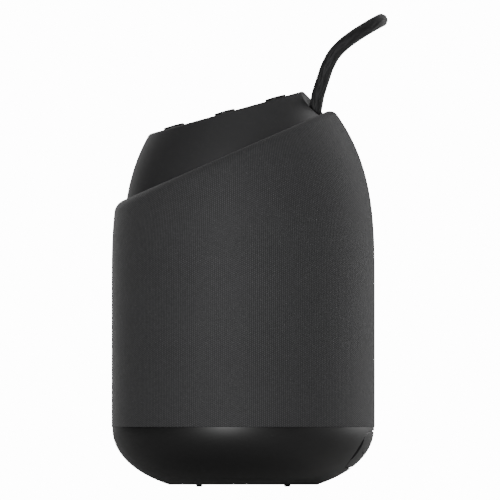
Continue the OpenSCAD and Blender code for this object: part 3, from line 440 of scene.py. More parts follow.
def bowl_profile(inset, bottom, top, steps=72, rounding=0.0):
    """The bowl's profile from the axis at the bottom out and up to a height, closer together
    low down, where it curves more, with a round edge of a radius at the top."""
    crowding = 1.6
    z = bottom + (top - rounding - bottom) * np.linspace(0, 1, steps) ** crowding
    wall = (bowl_radius(z, inset), z)
    if not rounding:
        return joined((0, bottom), wall, (0, top))
    return joined((0, bottom), wall, arc(float(bowl_radius(top, inset)) - rounding, top - rounding,
                                         rounding, 0, 90))


def at_hinge(points):
    """Moves points from the cover hinge's own frame, whose Z is the bead, to the speaker's."""
    c, s = math.cos(hinge_lean), math.sin(hinge_lean)
    x, y, z = points[..., 0] - bead_r, points[..., 1], points[..., 2]
    x, z = x * c + z * s + hinge_r, -x * s + z * c + cover_z
    c, s = math.cos(hinge_turn), math.sin(hinge_turn)
    return np.stack([x * c - y * s, x * s + y * c, z], -1)


cup_outer = bowl_profile(0, underside_z, seam_z, 96, rounding=0.12)
cup_floor = underside_z + cup_wall
inner_z = np.linspace(seam_z, cup_floor, 40)
cup_skin = joined(cup_outer, (bowl_radius(inner_z, cup_wall), inner_z), (0, cup_floor))
base_cup = piece_from_grids("base_cup_shell", [lathe(*cup_skin)])
pocket_outline = stadium_outline(cover_w + 2 * cover_gap, cover_h + 2 * cover_gap)
over_seam = seam_z + 4      # cutting shapes reach past the cup's top and bottom


def bowl_solid(name, inset, bottom):
    """The bowl moved inwards by inset, as a solid to cut with."""
    return piece_from_grids(name, [lathe(*bowl_profile(inset, bottom, over_seam))])


pocket = piece_from_grids("pocket", [prism(*pocket_outline, pocket_from, past_bowl, (0, cover_z))])
cut_away(pocket, [bowl_solid("inner_bowl", pocket_d, -1.5)])
usb_well, usb_hole = (stadium_outline(usb_size[0] + more, usb_size[1] + more) for more in (2.8, 0.5))
jack_well, jack_hole = (round_outline(jack_d + more) for more in (1.4, 0.5))
bead_bar = stadium_outline(2 * (bead_r + cover_gap) + 1e-3, 2 * (bead_r + cover_gap))
bead_end = bead_l / 2 + cover_gap
bead_room = prism(*bead_bar, -bead_end, bead_end, (0, 0))[..., [0, 2, 1]]
backing_outline = stadium_outline(backing_w, backing_h)
backing_bar = prism(*backing_outline, backing_from, past_bowl, (0, backing_z))
backing = piece_from_grids("port_backing", [backing_bar])
cut_away(backing, [bowl_solid("outer_bowl", 0.5, -2.0)], operation="INTERSECT")
cut_away(backing, [bowl_solid("inner_bowl", pocket_d + land_wall, -1.0)])
cut_away(base_cup, [backing], operation="UNION")
foot_hole = lathe([0, foot_hole_r, foot_hole_r, 0], [0, 0, foot_hole_top, foot_hole_top], 48)
cut_away(base_cup, [
    pocket,
    piece_from_grids("usb_well", [prism(*usb_well, port_face_y, holes_to, usb_place)]),
    piece_from_grids("jack_well", [prism(*jack_well, port_face_y, holes_to, jack_place)]),
    piece_from_grids("usb_hole", [prism(*usb_hole, holes_from, holes_to, usb_place)]),
    piece_from_grids("jack_hole", [prism(*jack_hole, holes_from, holes_to, jack_place)]),
    piece_from_grids("bead_room", [at_hinge(bead_room)]),
    *[piece_from_grids("foot_hole", [foot_hole + [x, y, 0]]) for x, y in foot_places]])
cup_paint = moulded("cup_soft_touch", (0.0018, 0.0018, 0.0020), 0.45, grain_mm=0.22, bump=0.10,
                    polish=0.06, dust=0.002, Specular_IOR_Level=0.55)
finish_piece(base_cup, cup_paint, "housing", "cup_plastic", "base_cup")

# --- Feet ---------------------------------------------------------------------------------
# Four turned rubber plugs pressed into the holes that hide the housing screws. Each stands on
# a small round nub.
nub_r, nub_edge_r, plug_r, plug_top, foot_edge_r = 1.04, 0.42, 2.45, 1.85, 0.25
foot_profile = joined(
    (0, 0), arc(nub_r - nub_edge_r, nub_edge_r, nub_edge_r, -90, 0), (nub_r + 0.04, 0.62),
    (1.13, underside_z + 0.02), arc(1.38, 0.62, foot_edge_r, 162, 90, 5), (plug_r - foot_edge_r, 0.82),
    arc(plug_r - foot_edge_r, 1.07, foot_edge_r, -90, 0), (plug_r, plug_top), (0, plug_top))
feet = piece_from_grids("foot_plugs", [lathe(*foot_profile, 40) + [x, y, 0] for x, y in foot_places])
foot_rubber = moulded("foot_rubber", (0.006, 0.006, 0.006), 0.7, grain_mm=0.15, bump=0.2)
finish_piece(feet, foot_rubber, "housing", "foot_rubber", "feet")


# --- Port cover ---------------------------------------------------------------------------
# A soft rubber flap, flush with the bowl, that turns on a bead at its left end. A crescent
# at its right end lets a fingernail in, and two plugs on its back close the ports.
def cover_place(share, inset):
    """The cover's outline drawn in towards its middle line by share, on the bowl's surface
    moved inwards by inset. With w and h the cover's width and height, the outline's right end
    loses the crescent notch_w sqrt(1 - (2 z / notch_h)^2), and y = sqrt(R(z)^2 - x^2)."""
    spine = np.clip(flap_x, -cover_side, cover_side)
    x = spine + share * (flap_x - spine)
    z = cover_z + share * flap_z
    y = np.sqrt(np.maximum(bowl_radius(z, inset) ** 2 - x ** 2, 1.0))
    return np.stack([x, y, z], -1)


notch_w, notch_h = 1.6, 7.0
cover_side = (cover_w - cover_h) / 2
flap_x, flap_z = stadium_outline(cover_w, cover_h, 65, straight=60)
crescent = notch_w * np.sqrt(np.clip(1 - (flap_z / (notch_h / 2)) ** 2, 0, 1))
flap_x = flap_x - crescent * (flap_x > cover_side)
half_h, flap_sink, flap_edge_r = cover_h / 2, 0.02, 0.35
flap_rows = [(share, flap_sink) for share in np.linspace(0, 1 - flap_edge_r / half_h, 14)]
flap_rows += [(1 - flap_edge_r / half_h * (1 - np.sin(a)), flap_sink + flap_edge_r * (1 - np.cos(a)))
              for a in np.radians(np.linspace(0, 90, 6))]
# a thin sealing rib runs round the edge and touches the pocket's wall
rib = 1 + (cover_gap + 0.01) / half_h
flap_rows += [(1, 0.45), (rib, 0.5), (rib, 0.62), (1, 0.68)]
# inside, the lower edge is cut back so that it clears the wall, and the left end is thinner
cut_back_from, cut_back, cut_back_edge = 0.75, 0.17, 0.03
thin_t, thin_end, thin_ramp = 0.9, -14.9, 0.6
low = np.clip(-flap_z / half_h, 0, 1)
inside = thin_t + (cover_t - thin_t) * np.clip((flap_x - thin_end) / thin_ramp, 0, 1)
flap_rows += [(1 - cut_back_edge * low, cut_back_from)]
flap_rows += [(share * (1 - cut_back * low), inside) for share in np.linspace(1, 0, 9)]
flap = np.stack([cover_place(share, inset) for share, inset in flap_rows])


def port_plug(x, z, place):
    """A plug's rows along Y: the outline grown from nothing at a dimpled nose to its full size,
    straight back into the flap, and shut there."""
    nose, root = port_face_y + 0.15, 40.2
    rows = [(0, nose + 0.3), (0.5, nose), (0.88, nose), (0.96, nose + 0.12), (1.0, nose + 0.45),
            (1.0, root), (0, root)]
    return np.stack([np.stack([place[0] + share * x, np.full_like(x, y), place[1] + share * z], -1)
                     for share, y in rows])


usb_plug_more, jack_plug_more = 1.8, 0.4       # wider than the sockets, as they close the wells
plugs = [port_plug(*stadium_outline(usb_size[0] + usb_plug_more, usb_size[1] + usb_plug_more), usb_place),
         port_plug(*round_outline(jack_d + jack_plug_more), jack_place)]
bead_tip, bead_chamfer = bead_l / 2, 0.15
bead = joined((0, -bead_tip), (bead_r - bead_chamfer, -bead_tip), (bead_r, -bead_tip + bead_chamfer),
              (bead_r, bead_tip - bead_chamfer), (bead_r - bead_chamfer, bead_tip), (0, bead_tip))
web_h, web_drop = 1.4, 0.6
web_outline = stadium_outline(2 * bead_r, web_h)
web = prism(*web_outline, -bead_tip + 0.05, bead_tip - 0.05, (0, -web_drop))[..., [0, 2, 1]]
cover = piece_from_grids("port_flap", [flap, *plugs, at_hinge(lathe(*bead, 24)), at_hinge(web)])
cover_rubber = moulded("cover_rubber", (0.0032, 0.0032, 0.0035), 0.42, grain_mm=0.45, bump=0.45,
                       polish=0.05, dust=0.005, Specular_IOR_Level=0.45)
finish_piece(cover, cover_rubber, "port_cover", "cover_rubber", "port_cover")

# --- Inner parts --------------------------------------------------------------------------
# What the shells hold: a sealed chassis with two drivers and two passive radiators, the
# battery, the boards and their sockets, wires, seals and screws, in the CAD's own shapes.
def dress(material, *nodes):
    """Puts a material on CAD nodes, which keep their shape."""
    for node in nodes:
        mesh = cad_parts[node].data
        mesh.materials.clear()
        mesh.materials.append(material)


def fine_lines_group():
    """Fine lines across one direction of the piece, as a brush, a winding or a rolled sheet
    leaves them. The height is a sine of the place along the direction, and the mask a noise
    of the same place, so that it is drawn out along the lines."""
    group, given, out = new_group("fine_lines", {
        "Direction": ("NodeSocketVector", None),
        "Pitch": ("NodeSocketFloat", 0.0004)},
        {"Mask": "NodeSocketFloat", "Height": "NodeSocketFloat"})
    place = put_node(group, "ShaderNodeTexCoord").outputs["Object"]
    along = put_node(group, "ShaderNodeVectorMath", {"operation": "DOT_PRODUCT"}, in0=place,
                     in1=given.outputs["Direction"]).outputs["Value"]
    turns = maths(group, "DIVIDE", along, given.outputs["Pitch"])
    wave = maths(group, "SINE", maths(group, "MULTIPLY", turns, math.tau))
    drawn = put_node(group, "ShaderNodeTexNoise", {"noise_dimensions": "1D"}, W=turns, Scale=0.37,
                     Detail=4.0).outputs["Fac"]
    group.links.new(drawn, out.inputs["Mask"])
    height = maths(group, "ADD", maths(group, "MULTIPLY", wave, 0.5), 0.5)
    group.links.new(height, out.inputs["Height"])
    return group


fine_lines = fine_lines_group()


def lined(name, colour, roughness, direction, pitch_mm, depth=0.25, bump=0.3, **sockets):
    """A finish with fine lines: brushed metal, wound wire, corrugated cloth or pressed paper."""
    material = new_material(name, colour, roughness, **sockets)
    lines = place_group(material, fine_lines, Direction=direction, Pitch=pitch_mm * MM)
    tree = material.node_tree
    shade = put_node(tree, "ShaderNodeMix", {"data_type": "RGBA"}, Factor=lines.outputs["Mask"])
    shade.inputs[6].default_value = (*(c * (1 - depth) for c in colour), 1)
    shade.inputs[7].default_value = (*(min(1, c * (1 + depth)) for c in colour), 1)
    feed(material, "Base Color", shade.outputs[2])
    rough = put_node(tree, "ShaderNodeMapRange", Value=lines.outputs["Mask"],
                     To_Min=roughness - 0.1, To_Max=roughness + 0.12).outputs[0]
    feed(material, "Roughness", rough)
    bumped(material, lines.outputs["Height"], bump, 0.03 * MM)
    return material


def circuit_board(name, mask_colour, track_colour):
    """Solder mask over copper tracks: cells of a Voronoi pattern in steps of a millimetre give
    the tracks' routes, and dots of tin mark the pads."""
    material = new_material(name, mask_colour, 0.35, Coat_Weight=0.3, Coat_Roughness=0.2)
    tree = material.node_tree
    place = put_node(tree, "ShaderNodeTexCoord").outputs["Object"]
    routes = put_node(tree, "ShaderNodeTexVoronoi", {"distance": "CHEBYCHEV"}, Vector=place,
                      Scale=260.0, Randomness=0.35).outputs["Distance"]
    track = put_node(tree, "ShaderNodeMapRange", Value=routes, From_Min=0.40, From_Max=0.43).outputs[0]
    pads = put_node(tree, "ShaderNodeTexVoronoi", Vector=place, Scale=420.0, Randomness=0.6)
    pad = put_node(tree, "ShaderNodeMapRange", Value=pads.outputs["Distance"], From_Min=0.16,
                   From_Max=0.13).outputs[0]
    copper = put_node(tree, "ShaderNodeMix", {"data_type": "RGBA"}, Factor=track)
    copper.inputs[6].default_value = (*mask_colour, 1)
    copper.inputs[7].default_value = (*track_colour, 1)
    tinned = put_node(tree, "ShaderNodeMix", {"data_type": "RGBA"}, Factor=pad)
    tree.links.new(copper.outputs[2], tinned.inputs[6])
    tinned.inputs[7].default_value = (0.55, 0.54, 0.50, 1)
    feed(material, "Base Color", tinned.outputs[2])
    bumped(material, maths(tree, "ADD", track, pad), 0.4, 0.03 * MM)
    return material


upright, across, deep = (0, 0, 1), (0, 1, 0), (1, 0, 0)
zinc = lined("zinc_plate", (0.45, 0.45, 0.46), 0.32, upright, 0.25, Metallic=1.0)
tin = lined("tinned_steel", (0.60, 0.60, 0.61), 0.28, deep, 0.3, depth=0.12, Metallic=1.0)
dress(zinc, "housing_screws", "chassis_screws", "board_screws", "strap_ferrules")
dress(tin, "radio_shield", "usb_socket")
dress(moulded("chassis_moulding", (0.035, 0.035, 0.038), 0.5, grain_mm=0.4, bump=0.25),
      "chassis", "chassis_lid")
dress(moulded("cage_moulding", (0.030, 0.030, 0.032), 0.6, grain_mm=0.5, bump=0.3),
      "grille_cage", "battery_cradle")
dress(moulded("seal_rubber", (0.02, 0.02, 0.02), 0.75, grain_mm=0.6, bump=0.4),
      "base_seal", "chassis_gaskets", "driver_gaskets")
dress(moulded("driver_powder_coat", (0.030, 0.030, 0.033), 0.48, grain_mm=0.7, bump=0.5),
      "right_basket", "left_basket", "front_radiator_frame", "rear_radiator_frame")
dress(lined("magnet_zinc", (0.40, 0.40, 0.42), 0.35, across, 0.3, Metallic=1.0), "right_magnet",
      "left_magnet")
dress(lined("coil_wire", (0.62, 0.27, 0.12), 0.3, deep, 0.22, bump=0.9, Metallic=1.0),
      "right_voice_coil", "left_voice_coil")
dress(lined("cone_paper", (0.022, 0.022, 0.024), 0.85, (0.6, 0.5, 0.62), 0.5, depth=0.4),
      "right_cone", "left_cone")
dress(moulded("roll_rubber", (0.014, 0.014, 0.015), 0.5, grain_mm=0.5, bump=0.2), "right_surround",
      "left_surround", "front_radiator_surround", "rear_radiator_surround")
dress(lined("spider_cloth", (0.55, 0.36, 0.12), 0.8, upright, 0.45, bump=0.8), "right_spider",
      "left_spider")
dress(lined("weight_aluminium", (0.55, 0.55, 0.57), 0.35, upright, 0.35, Metallic=1.0),
      "front_radiator_plate", "rear_radiator_plate")
dress(moulded("cell_wrap", (0.04, 0.13, 0.26), 0.25, grain_mm=1.5, bump=0.15, Coat_Weight=0.5),
      "battery")
dress(moulded("red_insulation", (0.35, 0.03, 0.025), 0.35, grain_mm=0.6), "speaker_leads",
      "battery_leads")
dress(moulded("black_insulation", (0.02, 0.02, 0.02), 0.4, grain_mm=0.6), "key_cable")
dress(circuit_board("board_mask", (0.012, 0.075, 0.033), (0.03, 0.14, 0.06)), "main_board",
      "key_board")
dress(moulded("chip_moulding", (0.018, 0.018, 0.02), 0.55, grain_mm=0.2, bump=0.3), "board_chips",
      "aux_jack", "key_switches")
dress(moulded("switch_stem", (0.60, 0.56, 0.48), 0.45), *[
    f"stem_{key}" for key in ("volume_down", "play", "volume_up", "power", "link")])
dress(moulded("led_body", (0.75, 0.72, 0.55), 0.3, grain_mm=0.4), "status_led")
dress(moulded("light_pipe", (0.50, 0.52, 0.55), 0.15, grain_mm=0.8, bump=0.05, Coat_Weight=1.0,
              Coat_Roughness=0.05), "light_pipe")


# --- Fabric sleeve ------------------------------------------------------------------------
# A tube of woven acoustic cloth on foam, shrunk over the grille cage. It rolls over the
# cage's slanted rim in a soft lip and is tucked down between the cage and the top cap.
def outline(height, inset):
    """Radius and height of the body's outline moved inwards at right angles by inset. Above
    shoulder_z the radius falls by shoulder_drop times a power of the share of the shoulder."""
    share = np.maximum(0, (height - shoulder_z) / shoulder_h)
    radius = body_r - shoulder_drop * share ** shoulder_power
    lean = np.arctan(shoulder_drop * shoulder_power / shoulder_h * share ** (shoulder_power - 1))
    return radius - inset * np.cos(lean), height - inset * np.sin(lean)


def height_at_plane(turn, inset, axis_z, tilt):
    """Height along the outline, in each direction from the axis, at which the inset surface
    meets a plane that crosses the axis at axis_z and rises to the back: halving an interval."""
    over_body, halvings = 165, 44
    low = np.zeros(np.broadcast(turn, inset, axis_z).shape)
    high = low + over_body
    for _ in range(halvings):
        middle = (low + high) / 2
        radius, z = outline(middle, inset)
        above = z > axis_z + radius * np.sin(turn) * math.tan(tilt)
        low, high = np.where(above, low, middle), np.where(above, middle, high)
    return low


def on_body(turn, inset, height):
    """Points of the inset surface at heights along the outline, in directions from the axis."""
    radius, z = outline(height, inset)
    return np.stack(np.broadcast_arrays(radius * np.cos(turn), radius * np.sin(turn), z), -1)


shoulder_z, shoulder_h, shoulder_drop, shoulder_power = 64.0, 62.7, 14.35, 3.4
deck_z, deck_tilt = 126.7, math.radians(15.6)
rim_z, rim_tilt, rim_t = 113.25, math.radians(23.55), 3.5
fabric_t, tuck_h = 0.9, 6.0
sleeve_z = 19.995       # a hair below the seam, so that no light comes through
lip_r, inner_lip_r, hem_r = 2.3, 0.55, 0.08
weave_columns = 404
turn = np.linspace(0, math.tau, 361)[None, :]


def below_rim(drop):
    """Height on the axis of the rim's plane lowered by drop at right angles to it."""
    return rim_z - np.asarray(drop, float) / math.cos(rim_tilt)


lip_start = height_at_plane(turn, 0.0, below_rim(lip_r), rim_tilt)
wall_share = np.linspace(0, 1, 90)[:, None]
wall_height = sleeve_z + hem_r + wall_share * (lip_start - sleeve_z - hem_r)
hem_angle = np.radians(np.linspace(-90, 0, 5))[:-1, None]
hem_height = sleeve_z + hem_r * (1 + np.sin(hem_angle))
hem = on_body(turn, hem_r * (1 - np.cos(hem_angle)), hem_height)
lip_angle = np.radians(np.linspace(0, 90, 12))[1:, None]
roll = np.concatenate([
    np.stack([lip_r * (1 - np.cos(lip_angle)), lip_r * (1 - np.sin(lip_angle))], -1)[:, 0],
    np.stack([rim_t - inner_lip_r * (1 - np.sin(lip_angle[::2])),
              inner_lip_r * (1 - np.cos(lip_angle[::2]))], -1)[:, 0],
    [[rim_t, k] for k in np.linspace(1.0, tuck_h, 8)],
    [[rim_t - fabric_t, tuck_h], [rim_t - fabric_t, fabric_t], [fabric_t, fabric_t]]])
roll_height = height_at_plane(turn, roll[:, :1], below_rim(roll[:, 1:]), rim_tilt)
folded = on_body(turn, roll[:, :1], roll_height)
back_height = np.linspace(1, 0, 30)[:, None] * (roll_height[-1:] - sleeve_z) + sleeve_z
sleeve_grid = np.concatenate([hem, on_body(turn, 0.0, wall_height), folded,
                              on_body(turn, fabric_t, back_height)[1:], hem[:1]])
along_wall = np.concatenate([np.broadcast_to(hem_height, hem.shape[:2]), wall_height])
along_rest = lip_start + np.cumsum(np.linalg.norm(np.diff(
    sleeve_grid[len(along_wall) - 1:], axis=0), axis=-1), axis=0)
sleeve_map = np.stack(np.broadcast_arrays(
    turn / math.tau * weave_columns, np.concatenate([along_wall, along_rest])), -1)
sleeve = piece_from_grids("sleeve_cloth", [sleeve_grid], [sleeve_map], crease=50)


def weave_group():
    """Weave: warp yarns stand in columns and show as one short float above another. Each
    column is shifted by half a float from the next. In a float's own frame, where x and y run
    from -1 to 1, its height is (1 - x squared) times (1 - y to the fourth). The colour goes
    from the gap colour at a float's edges to the yarn colour on its top: painted shade
    at the floats' sides and between them."""
    group, given, out = new_group("weave", {
        "Yarn": ("NodeSocketColor", (0.05, 0.05, 0.05, 1)),
        # the gap colour is painted shade at the sides of the floats and between them
        "Gap": ("NodeSocketColor", (0.01, 0.01, 0.01, 1)),
        "Float length": ("NodeSocketFloat", 0.7)},
        {"Color": "NodeSocketColor", "Height": "NodeSocketFloat", "Roughness": "NodeSocketFloat"})
    place = put_node(group, "ShaderNodeUVMap", {"uv_map": "UVMap"}).outputs[0]
    column, height = put_node(group, "ShaderNodeSeparateXYZ", in0=place).outputs[:2]
    odd = maths(group, "FLOORED_MODULO", maths(group, "FLOOR", column), 2.0)
    rows = maths(group, "ADD", maths(group, "DIVIDE", height, given.outputs["Float length"]),
                 maths(group, "MULTIPLY", odd, 0.5))
    x = maths(group, "SUBTRACT", maths(group, "MULTIPLY", maths(group, "FRACT", column), 2.0), 1.0)
    y = maths(group, "SUBTRACT", maths(group, "MULTIPLY", maths(group, "FRACT", rows), 2.0), 1.0)
    across_yarn = maths(group, "POWER", maths(group, "ABSOLUTE", x), 2.0)
    along_yarn = maths(group, "POWER", maths(group, "ABSOLUTE", y), 4.0)
    bulge = maths(group, "MULTIPLY", maths(group, "SUBTRACT", 1.0, across_yarn),
                  maths(group, "SUBTRACT", 1.0, along_yarn))
    cell = put_node(group, "ShaderNodeCombineXYZ", in0=maths(group, "FLOOR", column),
                    in1=maths(group, "FLOOR", rows)).outputs[0]
    odd_yarn = put_node(group, "ShaderNodeTexWhiteNoise", {"noise_dimensions": "2D"},
                        Vector=cell).outputs["Value"]
    spread = put_node(group, "ShaderNodeTexCoord").outputs["Object"]
    soil = put_node(group, "ShaderNodeTexNoise", Vector=spread, Scale=38.0, Detail=4.0).outputs["Fac"]
    drift = maths(group, "ADD", maths(group, "MULTIPLY", odd_yarn, 0.25),
                  maths(group, "MULTIPLY", soil, 0.3))
    # painted shade: darker towards each float's edges, where its height falls
    factor = maths(group, "MULTIPLY", maths(group, "POWER", bulge, 0.7),
                   maths(group, "ADD", drift, 0.72))
    colour = put_node(group, "ShaderNodeMix", {"data_type": "RGBA"}, Factor=factor)
    group.links.new(given.outputs["Gap"], colour.inputs[6])
    group.links.new(given.outputs["Yarn"], colour.inputs[7])
    group.links.new(colour.outputs[2], out.inputs["Color"])
    group.links.new(bulge, out.inputs["Height"])
    group.links.new(maths(group, "SUBTRACT", 0.74, maths(group, "MULTIPLY", bulge, 0.2)),
                    out.inputs["Roughness"])
    return group


cloth = new_material("sleeve_cloth", (0.035, 0.035, 0.036), 0.85, Sheen_Weight=0.12,
                     Sheen_Roughness=0.45, Specular_IOR_Level=0.17)
# the cloth's gap colour is painted shade between the yarn floats
weave = place_group(cloth, weave_group(), Yarn=(0.062, 0.062, 0.064, 1),
                    Gap=(0.014, 0.014, 0.0145, 1), Float_length=0.66)
feed(cloth, "Base Color", weave.outputs["Color"])
feed(cloth, "Roughness", weave.outputs["Roughness"])
bumped(cloth, weave.outputs["Height"], 0.45, 0.12 * MM)
finish_piece(sleeve, cloth, "housing", "sleeve_fabric", "fabric_sleeve")


# --- Top cap ------------------------------------------------------------------------------
# The moulded cap that stands out of the fabric and carries the key deck. Its sides go on with
# the body's outline, and two scoops at the back lead the strap's legs into their holes.
def on_deck(points):
    """Moves points from the deck's own frame to the speaker's: local Z is the deck's normal,
    local Y rises to the back, and the origin is the middle key's place."""
    c, s = math.cos(deck_tilt), math.sin(deck_tilt)
    x, y, z = points[..., 0], points[..., 1], points[..., 2]
    return np.stack([x, -deck_forward + y * c - z * s, deck_middle_z + y * s + z * c], -1)


def below_deck(drop):
    """Height on the axis of the deck's plane lowered by drop at right angles to it."""
    return deck_z - np.asarray(drop, float) / math.cos(deck_tilt)


def deck_ring(edge, share, drop):
    """Points of the deck between the cap's edge and the mat's recess: share 0 is on the edge
    and 1 on the recess's circle, in the edge point's own direction from the deck's middle."""
    middle = on_deck(np.array([0.0, 0.0, 0.0]))
    out = edge - middle
    length = np.linalg.norm(out, axis=-1, keepdims=True)
    circle = middle + out / length * recess_r
    return edge + share * (circle - edge) - deck_normal * drop


def scooped(points, centre, radius, softness):
    """Pushes points away from a scoop's centre so that none lies nearer than its radius. The
    new distance is the smooth greater of the two, half of d + r + sqrt((d - r)^2 + s^2), less
    what that would add far from the scoop, and it fades out to d at the fade radius."""
    fade, fade_end = 3, radius + 4
    out = points - centre
    d = np.linalg.norm(out, axis=-1, keepdims=True)
    soft = np.sqrt((d - radius) ** 2 + softness ** 2) - softness * np.clip((d - radius) / fade, 0, 1)
    push = np.clip((fade_end - d) / fade, 0, 1) * (radius + soft - d) / 2
    return centre + out / d * (d + np.maximum(push, 0))


deck_forward, deck_middle_z = 6.15, deck_z - 6.15 * math.tan(deck_tilt)
deck_normal = np.array([0, -math.sin(deck_tilt), math.cos(deck_tilt)])
mat_r, mat_d, recess_r, deck_t, cap_wall, cap_z = 22.8, 1.8, 22.95, 2.2, 2.2, 84.8
deck_edge_r, lead_in, lead_in_drop = 0.55, 0.25 / 6, 0.2     # lead_in is a share of the deck's rim
wall_z = cap_z + 3                                           # where the rows of the cap's wall begin
even = np.linspace(-math.pi, math.pi, 481)[None, :]
cap_turn = math.pi / 2 + even - 0.62 * np.sin(even)   # closer together at the back
edge_start = height_at_plane(cap_turn, rim_t, below_deck(deck_edge_r), deck_tilt)
side_share = np.linspace(0, 1, 110)[:, None] ** 0.75
side_wall = on_body(cap_turn, rim_t, wall_z + side_share * (edge_start - wall_z))
edge_angle = np.radians(np.linspace(0, 90, 6))[1:, None]
edge_inset = rim_t + deck_edge_r * (1 - np.cos(edge_angle))
edge_drop = deck_edge_r * (1 - np.sin(edge_angle))
deck_edge = on_body(cap_turn, edge_inset, height_at_plane(
    cap_turn, edge_inset, below_deck(edge_drop), deck_tilt))
ring_share = np.linspace(0, 1, 12)[1:, None, None]
rings = deck_ring(deck_edge[-1:], ring_share * (1 - lead_in), 0.0)
recess = np.concatenate([deck_ring(deck_edge[-1:], 1.0, drop) for drop in (lead_in_drop, mat_d)])
floor_middle = np.broadcast_to(on_deck(np.array([0, 0, -mat_d])), recess[:1].shape)
inner_inset = rim_t + cap_wall
inner_top = height_at_plane(cap_turn, inner_inset, below_deck(mat_d + deck_t), deck_tilt)
inner_rows = np.linspace(0, 1, 12)[:, None]
inner_wall = on_body(cap_turn, inner_inset, wall_z + inner_rows * (inner_top - wall_z))
under_middle = np.broadcast_to(on_deck(np.array([0, 0, -mat_d - deck_t])), recess[:1].shape)
cap_bottom = [on_body(cap_turn, inset, np.full_like(cap_turn, cap_z)) for inset in (inner_inset, rim_t)]
cap_grid = np.concatenate([under_middle, inner_wall[::-1], *cap_bottom, side_wall, deck_edge, rings,
                           recess, floor_middle])
outside = slice(1 + len(inner_wall) + 2, len(cap_grid) - 3)
scoop_r, scoop_out, scoop_lean, scoop_soft = 6.0, 3.7, math.radians(33), 0.9
scoop_way = scoop_out * np.array([0, math.sin(scoop_lean), math.cos(scoop_lean)])
for side in (-1, 1):
    centre = strap_pivot * [side, 1, 1] + scoop_way
    cap_grid[outside] = scooped(cap_grid[outside], centre, scoop_r, scoop_soft)
top_cap = piece_from_grids("top_cap_shell", [cap_grid], crease=40)


def bar_along(start, stop, radius, columns=48):
    """A round bar from one point to another, closed at both ends."""
    direction = (stop - start) / np.linalg.norm(stop - start)
    side = np.cross(direction, [1.0, 0, 0])
    side /= np.linalg.norm(side)
    angle = np.linspace(0, math.tau, columns + 1)[:, None]
    ring = radius * (np.cos(angle) * side + np.sin(angle) * np.cross(direction, side))
    return np.stack([start + 0 * ring, start + ring, stop + ring, stop + 0 * ring])


hole_low, hole_high, hole_r = leg_up * 14, leg_up * 9, strap_d / 2 + 0.35
hole_bars = [bar_along(strap_pivot * [side, 1, 1] - hole_low, strap_pivot * [side, 1, 1] + hole_high, hole_r)
             for side in (-1, 1)]
cut_away(top_cap, [piece_from_grids("strap_hole", [bar]) for bar in hole_bars], crease=40)
cap_paint = moulded("cap_soft_touch", (0.029, 0.029, 0.030), 0.52, grain_mm=0.22, bump=0.12,
                    polish=0.08, dust=0.015, Specular_IOR_Level=0.4)
finish_piece(top_cap, cap_paint, "housing", "cap_plastic", "top_cap")

# --- Key mat ------------------------------------------------------------------------------
# A round silicone mat glued into the deck's recess. Each key stands in its own hole, and a
# light pipe comes up beside the middle key.
mat_t, key_r, key_gap, key_pitch, key_rise = 1.6, 3.5, 0.2, 17.6, 0.55
key_places = {"volume_down": (0, -1), "play": (0, 0), "volume_up": (0, 1), "power": (1, 0),
              "link": (-1, 0)}
mat_edge_r, pipe_place, pipe_hole_r = 0.25, (8, -8), 0.9
mat_profile = joined((0, -mat_t), (mat_r, -mat_t),
                     arc(mat_r - mat_edge_r, -mat_edge_r, mat_edge_r, 0, 90, 5), (0, 0))
key_mat = piece_from_grids("key_mat_disc", [on_deck(lathe(*mat_profile, 192))])
mat_holes = [(key_pitch * x, key_pitch * y, key_r + key_gap) for x, y in key_places.values()]
mat_holes.append((*pipe_place, pipe_hole_r))


def flared_bar(r):
    """A bar to cut a hole of radius r with, flared by 0.2 at the mat's face."""
    return lathe([0, r, r + 0.02, r + 0.2, 0], [-3, -3, -0.2, 0.05, 0.05], 72)


cut_away(key_mat, [piece_from_grids("mat_hole", [on_deck(flared_bar(r) + [x, y, 0])])
                   for x, y, r in mat_holes])
mat_silicone = moulded("mat_silicone", (0.006, 0.006, 0.0065), 0.6, grain_mm=0.35, bump=0.3,
                       dust=0.05, Specular_IOR_Level=0.4)
finish_piece(key_mat, mat_silicone, "housing", "mat_silicone", "key_mat")

# --- Keys ---------------------------------------------------------------------------------
# Five silicone keys with a soft crown, each on a post that reaches its switch below the
# deck. Pad-printed marks show what they do.
post_r, key_low, key_post_low = 1.8, -1.3, -5.6
crown, key_edge_r = 0.12, 0.35
key_silicone = moulded("key_silicone", (0.006, 0.006, 0.006), 0.5, grain_mm=0.3, bump=0.15, dust=0.02)
print_white = moulded("pad_print", (0.32, 0.32, 0.33), 0.6, grain_mm=0.1, bump=0.1)


def ring_mark(radius, width, start, stop, centre=(0, 0)):
    """A flat printed arc of a width, as outline points: out along one side and back along the
    other, its angles in degrees."""
    angle = np.radians(np.linspace(start, stop, 33))
    outer, inner = radius + width / 2, radius - width / 2
    return (centre[0] + np.stack([outer * np.cos(angle), inner * np.cos(angle)]),
            centre[1] + np.stack([outer * np.sin(angle), inner * np.sin(angle)]))


def bar_mark(x, y, width, height):
    """A flat printed bar round a middle."""
    return (x + width / 2 * np.array([[-1, 1], [-1, 1]]),
            y + height / 2 * np.array([[-1, -1], [1, 1]]))


def printed(mark):
    """A printed mark as a thin closed slab, from just under a key's crown to just over it: a
    band round its four sides, and its two ends."""
    x, y = mark
    low, high = (np.stack([x, y, crown_height(x, y) + rise], -1) for rise in (-0.02, 0.03))
    band = np.stack([low[0], low[1], high[1], high[0], low[0]])
    return [band, *(np.stack([low[:, end], high[:, end]]) for end in (0, -1))]


def crown_height(x, y):
    """Height of a key's top: a shallow dome, key_rise plus crown in the middle."""
    return key_rise + crown * (1 - (np.asarray(x) ** 2 + np.asarray(y) ** 2) / key_r ** 2)


